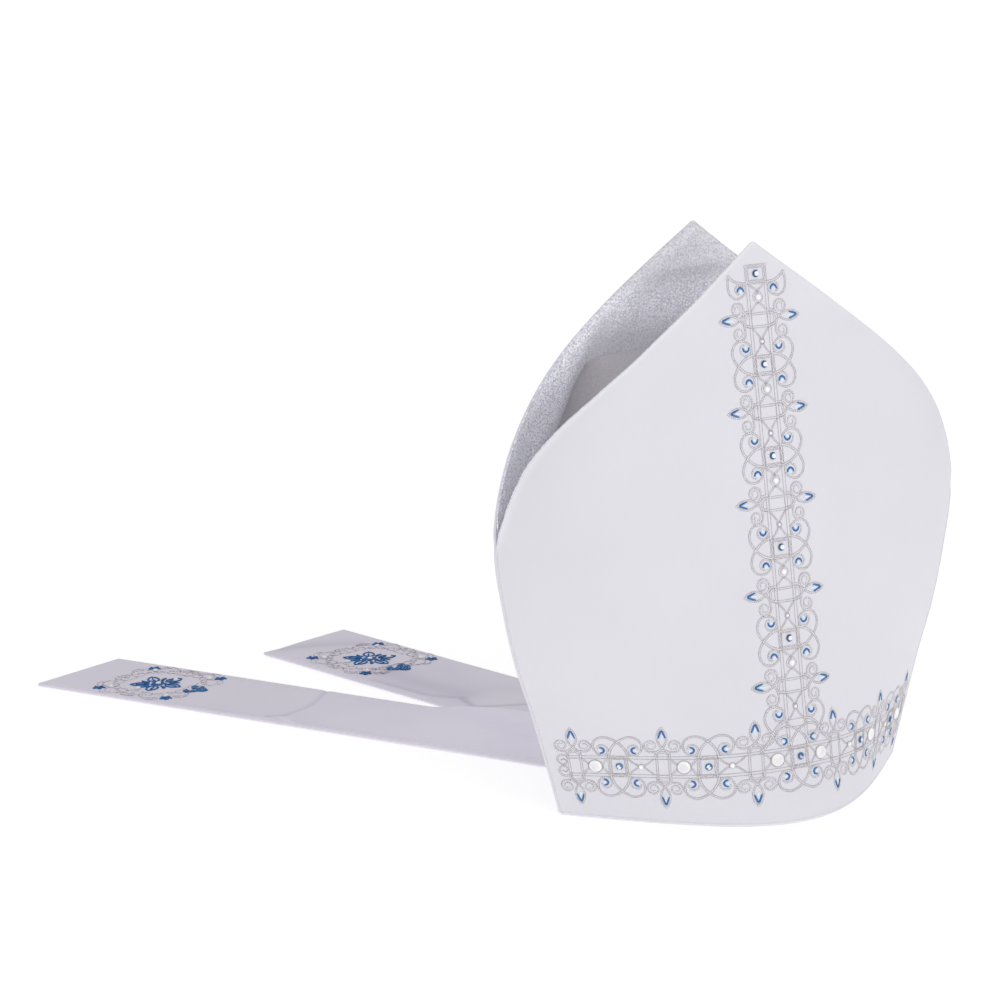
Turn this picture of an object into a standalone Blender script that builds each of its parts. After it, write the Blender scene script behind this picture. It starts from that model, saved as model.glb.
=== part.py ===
"""A bishop's mitre in white satin, standing on its hem with both lappets laid out behind it.

Two stiffened panels with a pointed top are sewn together up their sides. Each has a silver lining, and
a soft web closes the cleft between them. Pearls and flat-backed crystals sit on the front panel.
The front faces -Y, +Z is up, and the origin is the middle of the head opening, level with the hem.
Lengths are in metres.
"""
from math import cos, pi, radians, sin, tan

import bmesh
import bpy
import numpy as np
from mathutils import Vector

# Space between pieces that touch, and cloth thicknesses
GAP = 0.0003
LINING_GAP = 0.0006
PANEL_THICKNESS = 0.0024
LINING_THICKNESS = 0.0009
WEB_THICKNESS = 0.0012
LAPPET_THICKNESS = 0.0020

# The panels: how far each stands from the middle plane at the hem, and how far it leans inwards
FRONT, BACK = -1, 1
HEM_DEPTH = {FRONT: 0.0787, BACK: 0.0736}
LEAN = {FRONT: radians(9.94), BACK: radians(6.02)}
SHOULDER_HEIGHT = 0.153
APEX_HEIGHT = {FRONT: 0.3133, BACK: 0.3161}
BACK_HEM_ARCH = 0.0060

# One row for each level of the front panel. The edges are how far a panel's side stands from the middle
# plane: nothing up to the shoulder, where the two are sewn together, and more above it. Fullness bends
# the section: above 0 it is tightest in the middle, below 0 towards the sides.
SECTION_COLUMNS = ("height", "half_width", "front_edge", "back_edge", "fullness")
SECTIONS = (
    (0.0000, 0.1102, 0.0000, 0.0000, 0.37),
    (0.0300, 0.1186, 0.0000, 0.0000, 0.23),
    (0.0600, 0.1273, 0.0000, 0.0000, 0.08),
    (0.0900, 0.1371, 0.0000, 0.0000, -0.06),
    (0.1200, 0.1437, 0.0000, 0.0000, -0.20),
    (0.1530, 0.1482, 0.0000, 0.0000, -0.36),
    (0.1650, 0.1459, 0.0030, 0.0034, -0.40),
    (0.1800, 0.1417, 0.0062, 0.0071, -0.455),
    (0.2000, 0.1331, 0.0101, 0.0121, -0.52),
    (0.2200, 0.1181, 0.0170, 0.0213, -0.55),
    (0.2400, 0.0967, 0.0249, 0.0328, -0.53),
    (0.2600, 0.0715, 0.0292, 0.0407, -0.45),
    (0.2800, 0.0451, 0.0292, 0.0434, -0.315),
    (0.3000, 0.0184, 0.0263, 0.0423, -0.12),
    (0.3133, 0.0008, 0.0238, 0.0403, 0.00),
)
PANEL_ROWS_BELOW_SHOULDER = 8
PANEL_ROWS_ABOVE_SHOULDER = 13
PANEL_COLUMNS = 24
COLUMN_CROWDING = 0.4
LINING_MARGIN = 0.0030

# The web across the cleft: its height where it meets the linings, out from the middle
WEB_COLUMNS = ("half_width", "height")
WEB_LINE = (
    (0.0000, 0.2470),
    (0.0570, 0.2465),
    (0.0660, 0.2435),
    (0.0735, 0.2330),
    (0.0800, 0.2195),
    (0.0900, 0.2035),
    (0.1080, 0.1870),
    (0.1280, 0.1720),
    (0.1400, 0.1625),
)
WEB_STEPS_PER_ROW = 2
WEB_STEPS_ACROSS = 8
WEB_SAG = 0.13

# The lappets: the middle of each free end, the way each runs to the hem, its width, and how far its
# end is out of square
LAPPET_COLUMNS = ("name", "end_x", "end_y", "angle", "width", "end_skew")
LAPPETS = (
    ("lappet_left", -0.2406, 0.3931, radians(32.9), 0.069, 0.010),
    ("lappet_right", -0.0889, 0.3835, radians(16.6), 0.072, -0.007),
)
LAPPET_TUCK = 0.004
LAPPET_STEPS_ALONG = 30
LAPPET_STEPS_ACROSS = 6
RIDGE_HEIGHT = 0.0040
RIDGE_FROM_ROOT = 0.115
RIDGE_HALF_LENGTH = 0.060
CLIMB_START = 0.030
CLIMB_END = 0.012

# The embroidered bands on the front panel, which the pearls and crystals follow
REPEAT = 0.050
# The band above the hem: places in repeats, how far each lies along the front from its middle, and its height
BAND_COLUMNS = ("place", "along", "height")
BASE_BAND = (
    (-2.5, -0.1250, 0.0313),
    (-2.0, -0.1002, 0.0327),
    (-1.0, -0.0511, 0.0341),
    (0.0, 0.0016, 0.0360),
    (1.0, 0.0520, 0.0340),
    (2.0, 0.1003, 0.0322),
    (2.5, 0.1250, 0.0313),
)
UPRIGHT_FOOT = 0.0346
FIRST_BLOCK_ABOVE_FOOT = 0.0667
UPRIGHT_BLOCKS = 5
BASE_BLOCKS_EACH_SIDE = 2
PEARL_BELOW_BLOCK = 0.262
PEARL_BESIDE_BLOCK = 0.272
# The upright band runs a little right of the middle, and bends left towards its top
UPRIGHT_ASIDE = 0.0009
UPRIGHT_BEND = 0.0012

LARGE_PEARL = 0.0074
PEARL = 0.0048
CRYSTAL = 0.0046
BEAD_LIFT = 0.0005
PEARL_SEGMENTS = 12
PEARL_RINGS = 8
PEARL_HEIGHT = 0.32
CRYSTAL_SIDES = 8
CRYSTAL_TABLE = 0.55
CRYSTAL_HEIGHT = 0.42

# Finishes: colour, roughness, metallic
FINISHES = {
    "white_satin": ((0.78, 0.78, 0.83), 0.42, 0.0),
    "silver_lining": ((0.55, 0.54, 0.60), 0.38, 0.6),
    "web_lining": ((0.30, 0.28, 0.30), 0.60, 0.0),
    "pearl": ((0.90, 0.89, 0.90), 0.18, 0.0),
    "crystal": ((0.70, 0.80, 0.92), 0.06, 0.2),
}


def clear_scene():
    for old in list(bpy.data.objects):
        bpy.data.objects.remove(old, do_unlink=True)


def make_materials():
    materials = {}
    for name, (colour, roughness, metallic) in FINISHES.items():
        material = bpy.data.materials.new(name)
        material.use_nodes = True
        shader = material.node_tree.nodes["Principled BSDF"]
        shader.inputs["Base Color"].default_value = (*colour, 1.0)
        shader.inputs["Roughness"].default_value = roughness
        shader.inputs["Metallic"].default_value = metallic
        materials[name] = material
    return materials


def smooth_curve(table, columns, along, across):
    """A smooth curve through two columns of a table that adds no waves between its rows."""
    knots = np.array([row[columns.index(along)] for row in table])
    values = np.array([row[columns.index(across)] for row in table])
    steps = np.diff(knots)
    rises = np.diff(values) / steps
    slopes = np.zeros(len(knots))
    slopes[0] = rises[0]
    slopes[-1] = rises[-1]
    for i in range(1, len(knots) - 1):
        if rises[i - 1] * rises[i] > 0.0:
            slopes[i] = 2.0 * rises[i - 1] * rises[i] / (rises[i - 1] + rises[i])

    def value_at(place):
        i = int(np.clip(np.searchsorted(knots, place) - 1, 0, len(steps) - 1))
        t = (place - knots[i]) / steps[i]
        rest = 1.0 - t
        ends = values[i] * (1.0 + 2.0 * t) * rest ** 2 + values[i + 1] * (3.0 - 2.0 * t) * t ** 2
        bends = slopes[i] * t * rest ** 2 - slopes[i + 1] * t ** 2 * rest
        return float(ends + bends * steps[i])

    return value_at


half_width_at = smooth_curve(SECTIONS, SECTION_COLUMNS, "height", "half_width")
fullness_at = smooth_curve(SECTIONS, SECTION_COLUMNS, "height", "fullness")
edge_at = {
    FRONT: smooth_curve(SECTIONS, SECTION_COLUMNS, "height", "front_edge"),
    BACK: smooth_curve(SECTIONS, SECTION_COLUMNS, "height", "back_edge"),
}
web_height_at = smooth_curve(WEB_LINE, WEB_COLUMNS, "half_width", "height")
band_along_at = smooth_curve(BASE_BAND, BAND_COLUMNS, "place", "along")
band_height_at = smooth_curve(BASE_BAND, BAND_COLUMNS, "place", "height")


def level(side, height):
    """The height in the section table for a height on a panel: above the shoulder the back is taller."""
    if height <= SHOULDER_HEIGHT:
        return height
    stretch = (APEX_HEIGHT[FRONT] - SHOULDER_HEIGHT) / (APEX_HEIGHT[side] - SHOULDER_HEIGHT)
    return SHOULDER_HEIGHT + (height - SHOULDER_HEIGHT) * stretch


def wall_depth(side, height, x, inset=0.0):
    """How far a panel's outer face, moved inwards by inset, stands from the middle plane."""
    row = level(side, height)
    half_width = half_width_at(row)
    middle = HEM_DEPTH[side] - height * tan(LEAN[side])
    bulge = middle - edge_at[side](row)
    fullness = fullness_at(row)
    t = abs(x) / half_width
    spread = 1.0 + fullness * t * t
    fall = bulge * (1.0 + fullness) * t * t / spread
    slope = bulge / half_width * (1.0 + fullness) * 2.0 * t / spread ** 2
    return middle - fall - inset * (1.0 + slope * slope) ** 0.5


def reach(side, height, inset, margin=0.0):
    """How far out a face runs at a height: to the panel's side, or to the seam in the middle plane."""
    outermost = half_width_at(level(side, height)) - margin
    if wall_depth(side, height, outermost, inset) >= GAP / 2:
        return outermost
    near = 0.0
    far = outermost
    for _ in range(40):
        middle = (near + far) / 2
        if wall_depth(side, height, middle, inset) > GAP / 2:
            near = middle
        else:
            far = middle
    return near


def columns_across(count):
    """Places from -1 to 1, closer together towards the sides, where the panels bend most."""
    places = np.linspace(-1.0, 1.0, count + 1)
    return (1.0 - COLUMN_CROWDING) * places + COLUMN_CROWDING * np.sin(places * pi / 2)


def closed_sheet(name, upper, lower, material):
    """One closed solid from two grids of points, its two faces, joined all round by a rim."""
    bm = bmesh.new()
    faces = [[[bm.verts.new(point) for point in row] for row in grid] for grid in (upper, lower)]
    rows = len(upper)
    columns = len(upper[0])
    for grid in faces:
        for i in range(rows - 1):
            for j in range(columns - 1):
                bm.faces.new((grid[i][j], grid[i][j + 1], grid[i + 1][j + 1], grid[i + 1][j]))
    border = [(0, j) for j in range(columns)]
    border += [(i, columns - 1) for i in range(1, rows)]
    border += [(rows - 1, j) for j in range(columns - 2, -1, -1)]
    border += [(i, 0) for i in range(rows - 2, 0, -1)]
    for here, after in zip(border, border[1:] + border[:1]):
        corners = [faces[0][here[0]][here[1]], faces[0][after[0]][after[1]]]
        corners += [faces[1][after[0]][after[1]], faces[1][here[0]][here[1]]]
        bm.faces.new(corners)
    bmesh.ops.recalc_face_normals(bm, faces=bm.faces[:])
    return add_object(name, bm, material)


def add_object(name, bm, material):
    mesh = bpy.data.meshes.new(name)
    bm.to_mesh(mesh)
    bm.free()
    mesh.materials.append(material)
    mesh.shade_smooth()
    mesh.set_sharp_from_angle(angle=radians(40))
    piece = bpy.data.objects.new(name, mesh)
    bpy.context.scene.collection.objects.link(piece)
    return piece


def wall(name, side, material, outer_inset, inner_inset, margin, arch):
    """A bent wall that follows a panel from the hem to the point, between two insets from its face."""
    lowest = margin
    highest = APEX_HEIGHT[side] - margin
    rows = list(np.linspace(lowest, SHOULDER_HEIGHT, PANEL_ROWS_BELOW_SHOULDER, endpoint=False))
    rows += list(np.linspace(SHOULDER_HEIGHT, highest, PANEL_ROWS_ABOVE_SHOULDER))
    places = columns_across(PANEL_COLUMNS)
    grids = []
    for inset in (outer_inset, inner_inset):
        grid = []
        for row in rows:
            line = []
            for place in places:
                height = max(row, lowest + arch * (1.0 - place ** 2) ** 2)
                x = place * reach(side, height, inset, margin)
                line.append((x, side * wall_depth(side, height, x, inset), height))
            grid.append(line)
        grids.append(grid)
    return closed_sheet(name, grids[0], grids[1], material)


def make_panels(materials):
    satin = materials["white_satin"]
    wall("front_panel", FRONT, satin, 0.0, PANEL_THICKNESS, 0.0, 0.0)
    wall("back_panel", BACK, satin, 0.0, PANEL_THICKNESS, 0.0, BACK_HEM_ARCH)


def make_linings(materials):
    silver = materials["silver_lining"]
    outer = PANEL_THICKNESS + LINING_GAP
    inner = outer + LINING_THICKNESS
    wall("front_lining", FRONT, silver, outer, inner, LINING_MARGIN, 0.0)
    wall("back_lining", BACK, silver, outer, inner, LINING_MARGIN, BACK_HEM_ARCH)


def make_web(materials):
    """The soft web between the two linings: level in the middle, falling to the shoulders."""
    inset = PANEL_THICKNESS + LINING_GAP + LINING_THICKNESS + LINING_GAP
    out = []
    for near, far in zip(WEB_LINE, WEB_LINE[1:]):
        out += list(np.linspace(near[0], far[0], WEB_STEPS_PER_ROW, endpoint=False))
    out.append(WEB_LINE[-1][0])
    across = [-x for x in reversed(out[1:])] + out
    grids = []
    for drop in (0.0, WEB_THICKNESS):
        grid = []
        for x in across:
            slope = (web_height_at(abs(x) + GAP) - web_height_at(abs(x))) / GAP
            height = web_height_at(abs(x))
            ends = [side * wall_depth(side, height, x, inset) for side in (FRONT, BACK)]
            sag = WEB_SAG * (ends[1] - ends[0])
            line = []
            for t in np.linspace(0.0, 1.0, WEB_STEPS_ACROSS + 1):
                y = ends[0] + (ends[1] - ends[0]) * t
                z = height - sag * 4.0 * t * (1.0 - t) - drop * (1.0 + slope * slope) ** 0.5
                limits = [side * wall_depth(side, z, x, inset) for side in (FRONT, BACK)]
                line.append((x, min(max(y, limits[0]), limits[1]), z))
            grid.append(line)
        grids.append(grid)
    closed_sheet("crown_web", grids[0], grids[1], materials["web_lining"])


class Strip:
    """The run of one lappet over the ground, from its free end to where it tucks under the hem."""

    def __init__(self, row):
        values = dict(zip(LAPPET_COLUMNS, row))
        self.name = values["name"]
        self.width = values["width"]
        self.end_skew = values["end_skew"]
        self.end = Vector((values["end_x"], values["end_y"]))
        self.along = Vector((sin(values["angle"]), -cos(values["angle"])))
        self.across = Vector((cos(values["angle"]), sin(values["angle"])))
        self.root = [self.length_at(side * self.width / 2) for side in (-1, 1)]
        self.length = sum(self.root) / 2

    def length_at(self, aside):
        """How far an edge runs from the free end before it is tucked in under the hem."""
        near = 0.0
        far = 0.6
        for _ in range(40):
            middle = (near + far) / 2
            spot = self.end + self.along * middle + self.across * aside
            if spot.y > wall_depth(BACK, 0.0, spot.x, LAPPET_TUCK):
                near = middle
            else:
                far = middle
        return near

    def spot(self, fraction, aside):
        """The point a fraction of the way from the end to the root, aside from the middle line."""
        share = aside / self.width + 0.5
        start = self.end_skew * aside / self.width
        root = self.root[0] * (1.0 - share) + self.root[1] * share
        return self.end + self.along * (start + (root - start) * fraction) + self.across * aside

    def ridge(self, spot):
        """How far a lappet's underside rises off the ground in its soft ridge."""
        from_root = self.length - (spot - self.end).dot(self.along)
        away = abs(from_root - RIDGE_FROM_ROOT) / RIDGE_HALF_LENGTH
        return RIDGE_HEIGHT * cos(pi / 2 * away) ** 2 if away < 1.0 else 0.0

    def inside(self, spot):
        """How far a spot lies inside this strip's edge on the first lappet's side."""
        return (spot - self.end).dot(self.across) + self.width / 2


def ease(t):
    t = min(max(t, 0.0), 1.0)
    return t * t * (3.0 - 2.0 * t)


def make_lappets(materials):
    """Two flat strips: the left one lies over the right one where they meet near the hem."""
    left, right = (Strip(row) for row in LAPPETS)

    def under_right(spot):
        return right.ridge(spot)

    def under_left(spot):
        climb = ease((CLIMB_START + right.inside(spot)) / (CLIMB_START - CLIMB_END))
        return climb * (right.ridge(spot) + LAPPET_THICKNESS + GAP)

    for strip, underside in ((left, under_left), (right, under_right)):
        grids = []
        for lift in (0.0, LAPPET_THICKNESS):
            grid = []
            for i in range(LAPPET_STEPS_ALONG + 1):
                line = []
                for aside in np.linspace(-strip.width / 2, strip.width / 2, LAPPET_STEPS_ACROSS + 1):
                    spot = strip.spot(i / LAPPET_STEPS_ALONG, float(aside))
                    line.append((spot.x, spot.y, underside(spot) + lift))
                grid.append(line)
            grids.append(grid)
        closed_sheet(strip.name, grids[1], grids[0], materials["white_satin"])


def across_at(height, distance):
    """The x that lies a distance along the front panel from its middle line, at a height."""
    step = 0.0005
    x = 0.0
    run = 0.0
    while run < abs(distance):
        fall = wall_depth(FRONT, height, x) - wall_depth(FRONT, height, x + step)
        run += (step * step + fall * fall) ** 0.5
        x += step
    return x if distance >= 0 else -x


def set_on_front(piece, x, height):
    """Stand a bead on the front panel at a place, its own +Z along the panel's outward normal."""
    step = 0.001
    here = Vector((x, -wall_depth(FRONT, height, x), height))
    right = Vector((x + step, -wall_depth(FRONT, height, x + step), height)) - here
    up = Vector((x, -wall_depth(FRONT, height + step, x), height + step)) - here
    outward = right.cross(up).normalized()
    piece.location = here + outward * BEAD_LIFT
    piece.rotation_mode = "QUATERNION"
    piece.rotation_quaternion = outward.to_track_quat("Z", "Y")


def pearl_mesh(name, diameter, material):
    """A half pearl: a low dome with a flat underside where it is glued down."""
    bm = bmesh.new()
    bmesh.ops.create_uvsphere(bm, u_segments=PEARL_SEGMENTS, v_segments=PEARL_RINGS, radius=diameter / 2)
    cut = bmesh.ops.bisect_plane(
        bm, geom=bm.verts[:] + bm.edges[:] + bm.faces[:], plane_co=(0, 0, 0), plane_no=(0, 0, -1),
        clear_outer=True)
    rim = [edge for edge in cut["geom_cut"] if isinstance(edge, bmesh.types.BMEdge)]
    bmesh.ops.contextual_create(bm, geom=rim)
    bmesh.ops.scale(bm, vec=(1.0, 1.0, 2 * PEARL_HEIGHT), verts=bm.verts[:])
    bmesh.ops.recalc_face_normals(bm, faces=bm.faces[:])
    return add_object(name, bm, material)


def crystal_mesh(name, diameter, material):
    """A flat-backed crystal: a low cone with a flat table."""
    bm = bmesh.new()
    height = diameter * CRYSTAL_HEIGHT
    bmesh.ops.create_cone(
        bm, cap_ends=True, segments=CRYSTAL_SIDES, radius1=diameter / 2,
        radius2=diameter / 2 * CRYSTAL_TABLE, depth=height)
    bmesh.ops.translate(bm, verts=bm.verts[:], vec=(0, 0, height / 2))
    return add_object(name, bm, material)


def make_bead(name, size, materials):
    kind = name.split("_")[0]
    return (crystal_mesh if kind == "crystal" else pearl_mesh)(name, size, materials[kind])


def set_on_base_band(piece, place):
    """Stand a bead a number of repeats along the band above the hem."""
    height = band_height_at(place)
    set_on_front(piece, across_at(height, band_along_at(place)), height)


def make_beads(materials):
    """Pearls and crystals along the upright band and along the band above the hem."""
    for i in range(UPRIGHT_BLOCKS):
        for kind, size, place in (("crystal", CRYSTAL, i), ("pearl", PEARL, i - PEARL_BELOW_BLOCK)):
            run = FIRST_BLOCK_ABOVE_FOOT + place * REPEAT
            height = UPRIGHT_FOOT + run * cos(LEAN[FRONT])
            bead = make_bead(f"{kind}_upright_{i + 1}", size, materials)
            bend = UPRIGHT_BEND * (i / (UPRIGHT_BLOCKS - 1)) ** 2
            set_on_front(bead, UPRIGHT_ASIDE - bend, height)
    for i in range(-BASE_BLOCKS_EACH_SIDE, BASE_BLOCKS_EACH_SIDE + 1):
        bead = make_bead(f"crystal_base_{i + BASE_BLOCKS_EACH_SIDE + 1}", CRYSTAL, materials)
        set_on_base_band(bead, i)
    for i in range(BASE_BLOCKS_EACH_SIDE + 1):
        for word, side in (("left", -1), ("right", 1)):
            bead = make_bead(f"pearl_base_{word}_{i + 1}", LARGE_PEARL, materials)
            set_on_base_band(bead, side * (i + PEARL_BESIDE_BLOCK))


clear_scene()
finishes = make_materials()
make_panels(finishes)
make_linings(finishes)
make_web(finishes)
make_lappets(finishes)
make_beads(finishes)
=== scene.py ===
from math import cos, pi, radians, sin, tan

import bpy
import numpy as np
from mathutils import Matrix, Vector


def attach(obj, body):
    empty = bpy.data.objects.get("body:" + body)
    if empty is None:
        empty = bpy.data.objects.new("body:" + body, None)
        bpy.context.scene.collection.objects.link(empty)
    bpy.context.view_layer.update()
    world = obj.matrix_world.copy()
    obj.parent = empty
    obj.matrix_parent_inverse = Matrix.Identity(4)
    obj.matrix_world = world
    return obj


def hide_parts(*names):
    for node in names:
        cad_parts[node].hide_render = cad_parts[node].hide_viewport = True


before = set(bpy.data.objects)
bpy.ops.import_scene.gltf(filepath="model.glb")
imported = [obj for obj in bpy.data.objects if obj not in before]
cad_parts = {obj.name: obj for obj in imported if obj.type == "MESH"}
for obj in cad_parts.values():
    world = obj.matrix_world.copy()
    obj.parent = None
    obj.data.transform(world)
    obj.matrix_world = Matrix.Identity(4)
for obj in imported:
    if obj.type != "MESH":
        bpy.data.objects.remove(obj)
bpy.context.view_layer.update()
MM = 0.001

# ---------------------------------------------------------------------------------------------------
# The studio: a pale table that runs out of sight, a broad light from the right front and a lower one
# beside it, a weak one over the camera's shoulder, and a white room all round. The camera looks from the
# left, a little above.

CAMERA_PLACE = Vector((-1.0097, -1.6673, 0.6430))
CAMERA_AIM = Vector((0.44772, 0.86197, -0.2378))
CAMERA_ROLL = radians(-0.82)
CAMERA_LENS = 129.9
ROOM_LIGHT = 0.70
LIGHTS = (
    # name, place, aim, size, power
    ("key_light", (0.5, -3.2, 1.9), (0.0, 0.0, 0.12), 2.4, 12.0),
    ("low_light", (0.8, -3.2, 0.9), (0.0, 0.0, 0.12), 1.7, 8.0),
    ("shoulder_light", (-1.6, -2.2, 2.6), (0.0, 0.0, 0.12), 1.8, 6.0),
)


def turned_to(direction, roll=0.0):
    """The rotation of a camera or light that looks along a direction."""
    back = -direction.normalized()
    right = Vector((0, 0, 1)).cross(back).normalized()
    up = back.cross(right)
    level = Matrix((right, up, back)).transposed()
    return (level @ Matrix.Rotation(roll, 3, "Z")).to_quaternion()


camera_data = bpy.data.cameras.new("camera")
camera_data.lens = CAMERA_LENS
camera = bpy.data.objects.new("camera", camera_data)
bpy.context.scene.collection.objects.link(camera)
camera.location = CAMERA_PLACE
camera.rotation_mode = "QUATERNION"
camera.rotation_quaternion = turned_to(CAMERA_AIM, CAMERA_ROLL)
bpy.context.scene.camera = camera

for name, place, aim, size, power in LIGHTS:
    lamp = bpy.data.lights.new(name, "AREA")
    lamp.size = size
    lamp.energy = power
    light = bpy.data.objects.new(name, lamp)
    bpy.context.scene.collection.objects.link(light)
    light.location = place
    light.rotation_mode = "QUATERNION"
    light.rotation_quaternion = turned_to(Vector(aim) - Vector(place))

room = bpy.data.worlds.new("room")
bpy.context.scene.world = room
room.use_nodes = True
background = room.node_tree.nodes["Background"]
background.inputs["Color"].default_value = (1.0, 1.0, 1.0, 1.0)
background.inputs["Strength"].default_value = ROOM_LIGHT
bpy.context.scene.view_settings.view_transform = "Standard"


def feed(tree, node, inputs):
    """Set a node's inputs, each to a value or to the output that feeds it."""
    for name, value in inputs.items():
        if isinstance(value, bpy.types.NodeSocket):
            tree.links.new(value, node.inputs[name])
        else:
            node.inputs[name].default_value = value
    return node


def add_node(tree, kind, inputs=None, **settings):
    node = tree.nodes.new(kind)
    for name, value in settings.items():
        setattr(node, name, value)
    return feed(tree, node, inputs or {})


def object_place(tree):
    return add_node(tree, "ShaderNodeTexCoord").outputs["Object"]


def plain_material(name, colour, roughness, inputs=None):
    """A material of one colour, with its tree and its shader."""
    material = bpy.data.materials.new(name)
    material.use_nodes = True
    tree = material.node_tree
    shader = tree.nodes["Principled BSDF"]
    feed(tree, shader, {"Base Color": (*colour, 1.0), "Roughness": roughness})
    return material, tree, feed(tree, shader, inputs or {})


TABLE_TOP = -0.0003
TABLE_HALF = 9.0
TABLE_COLOUR = (0.97, 0.97, 0.97)
# The table glows a little, and more where it runs away from the mitre, so that it stays white all over
TABLE_GLOW = {"From Min": 0.55, "From Max": 1.50, "To Min": 0.30, "To Max": 0.42}
corners = [(x * TABLE_HALF, y * TABLE_HALF, TABLE_TOP) for x, y in ((-1, -1), (1, -1), (1, 1), (-1, 1))]
table_mesh = bpy.data.meshes.new("table")
table_mesh.from_pydata(corners, [], [(0, 1, 2, 3)])
table = bpy.data.objects.new("table", table_mesh)
bpy.context.scene.collection.objects.link(table)
table_paint, tree, shader = plain_material("table_paint", TABLE_COLOUR, 0.85)
away = add_node(tree, "ShaderNodeVectorMath", {0: object_place(tree)}, operation="LENGTH")
glow = add_node(tree, "ShaderNodeMapRange", {**TABLE_GLOW, "Value": away.outputs["Value"]}).outputs["Result"]
feed(tree, shader, {"Emission Color": (1.0, 1.0, 1.0, 1.0), "Emission Strength": glow})
table_mesh.materials.append(table_paint)

# ---------------------------------------------------------------------------------------------------
# The two panels: white duchess satin over a stiffener, cut to a point and bent round the head. Their
# edges are turned in and rolled, and they are sewn together up both sides as far as the shoulder.

FRONT, BACK = -1, 1
HEM_DEPTH = {FRONT: 0.0787, BACK: 0.0736}
LEAN = {FRONT: radians(9.94), BACK: radians(6.02)}
SHOULDER_HEIGHT = 0.153
APEX_HEIGHT = {FRONT: 0.3133, BACK: 0.3161}
BACK_HEM_ARCH = 0.0060
ARCH_FADE = 0.045
SEAM_GAP = 0.0003
PANEL_THICKNESS = 0.0024
# Fullness bends the section: above 0 it is tightest in the middle, below 0 towards the sides
SECTION_COLUMNS = ("height", "half_width", "front_edge", "back_edge", "fullness")
SECTIONS = np.array((
    (0.0000, 0.1102, 0.0000, 0.0000, 0.37),
    (0.0300, 0.1186, 0.0000, 0.0000, 0.23),
    (0.0600, 0.1273, 0.0000, 0.0000, 0.08),
    (0.0900, 0.1371, 0.0000, 0.0000, -0.06),
    (0.1200, 0.1437, 0.0000, 0.0000, -0.20),
    (0.1530, 0.1482, 0.0000, 0.0000, -0.36),
    (0.1650, 0.1459, 0.0030, 0.0034, -0.40),
    (0.1800, 0.1417, 0.0062, 0.0071, -0.455),
    (0.2000, 0.1331, 0.0101, 0.0121, -0.52),
    (0.2200, 0.1181, 0.0170, 0.0213, -0.55),
    (0.2400, 0.0967, 0.0249, 0.0328, -0.53),
    (0.2600, 0.0715, 0.0292, 0.0407, -0.45),
    (0.2800, 0.0451, 0.0292, 0.0434, -0.315),
    (0.3000, 0.0184, 0.0263, 0.0423, -0.12),
    (0.3133, 0.0008, 0.0238, 0.0403, 0.00),
))
WALL_ROWS = 110
WALL_COLUMNS = 96
COLUMN_CROWDING = 0.4
ROLL_STEPS = 5
# How often a search halves its range
HALVINGS = 40
# The cloth is turned in tightly at the point, so its corner is sharper than the rolled edge, and the
# stiffener stops short of the free edges, which are thinner by this share
POINT_TURN = 0.72
EDGE_THINNING = 0.60
EDGE_RUN = 0.0060
HEM_CORNER = 0.0018
HEM_CORNER_ROWS = (0.0, 0.1, 0.3, 0.6, 1.0)
FREE_RUN = 0.020


def smooth_curve(knots, values):
    """A smooth curve through a table's rows that adds no waves between them."""
    steps = np.diff(knots)
    rises = np.diff(values) / steps
    slopes = np.concatenate(([rises[0]], np.zeros(len(steps) - 1), [rises[-1]]))
    same_way = rises[:-1] * rises[1:] > 0
    before, after = rises[:-1][same_way], rises[1:][same_way]
    slopes[1:-1][same_way] = 2 * before * after / (before + after)

    def value_at(place):
        place = np.asarray(place, float)
        i = np.clip(np.searchsorted(knots, place) - 1, 0, len(steps) - 1)
        t = (place - knots[i]) / steps[i]
        rest = 1 - t
        ends = values[i] * (1 + 2 * t) * rest ** 2 + values[i + 1] * (3 - 2 * t) * t ** 2
        return ends + (slopes[i] * t * rest ** 2 - slopes[i + 1] * t ** 2 * rest) * steps[i]

    return value_at


def section_curve(column):
    return smooth_curve(SECTIONS[:, 0], SECTIONS[:, SECTION_COLUMNS.index(column)])


half_width_at = section_curve("half_width")
fullness_at = section_curve("fullness")
edge_at = {FRONT: section_curve("front_edge"), BACK: section_curve("back_edge")}


def level(side, height):
    """The height in the section table for a height on a panel: above the shoulder the back is taller."""
    stretch = (APEX_HEIGHT[FRONT] - SHOULDER_HEIGHT) / (APEX_HEIGHT[side] - SHOULDER_HEIGHT)
    return np.where(height <= SHOULDER_HEIGHT, height, SHOULDER_HEIGHT + (height - SHOULDER_HEIGHT) * stretch)


def wall_depth(side, height, x, inset=0.0):
    """How far a panel's outer face, moved inwards by inset, stands from the middle plane."""
    height, x = np.asarray(height, float), np.asarray(x, float)
    row = level(side, height)
    half_width = half_width_at(row)
    middle = HEM_DEPTH[side] - height * tan(LEAN[side])
    bulge = middle - edge_at[side](row)
    fullness = fullness_at(row)
    t = np.abs(x) / half_width
    spread = 1 + fullness * t * t
    slope = bulge / half_width * (1 + fullness) * 2 * t / spread ** 2
    return middle - bulge * (1 + fullness) * t * t / spread - inset * np.sqrt(1 + slope ** 2)


def reach(side, height, inset, margin):
    """How far out a face runs at a height: to the panel's side, or to the seam in the middle plane."""
    outermost = half_width_at(level(side, height)) - margin
    near, far = np.zeros_like(outermost), outermost.copy()
    for _ in range(HALVINGS):
        middle = (near + far) / 2
        clear = wall_depth(side, height, middle, inset) > SEAM_GAP / 2
        near, far = np.where(clear, middle, near), np.where(clear, far, middle)
    whole = wall_depth(side, height, outermost, inset) >= SEAM_GAP / 2
    return np.where(whole, outermost, near)


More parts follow.
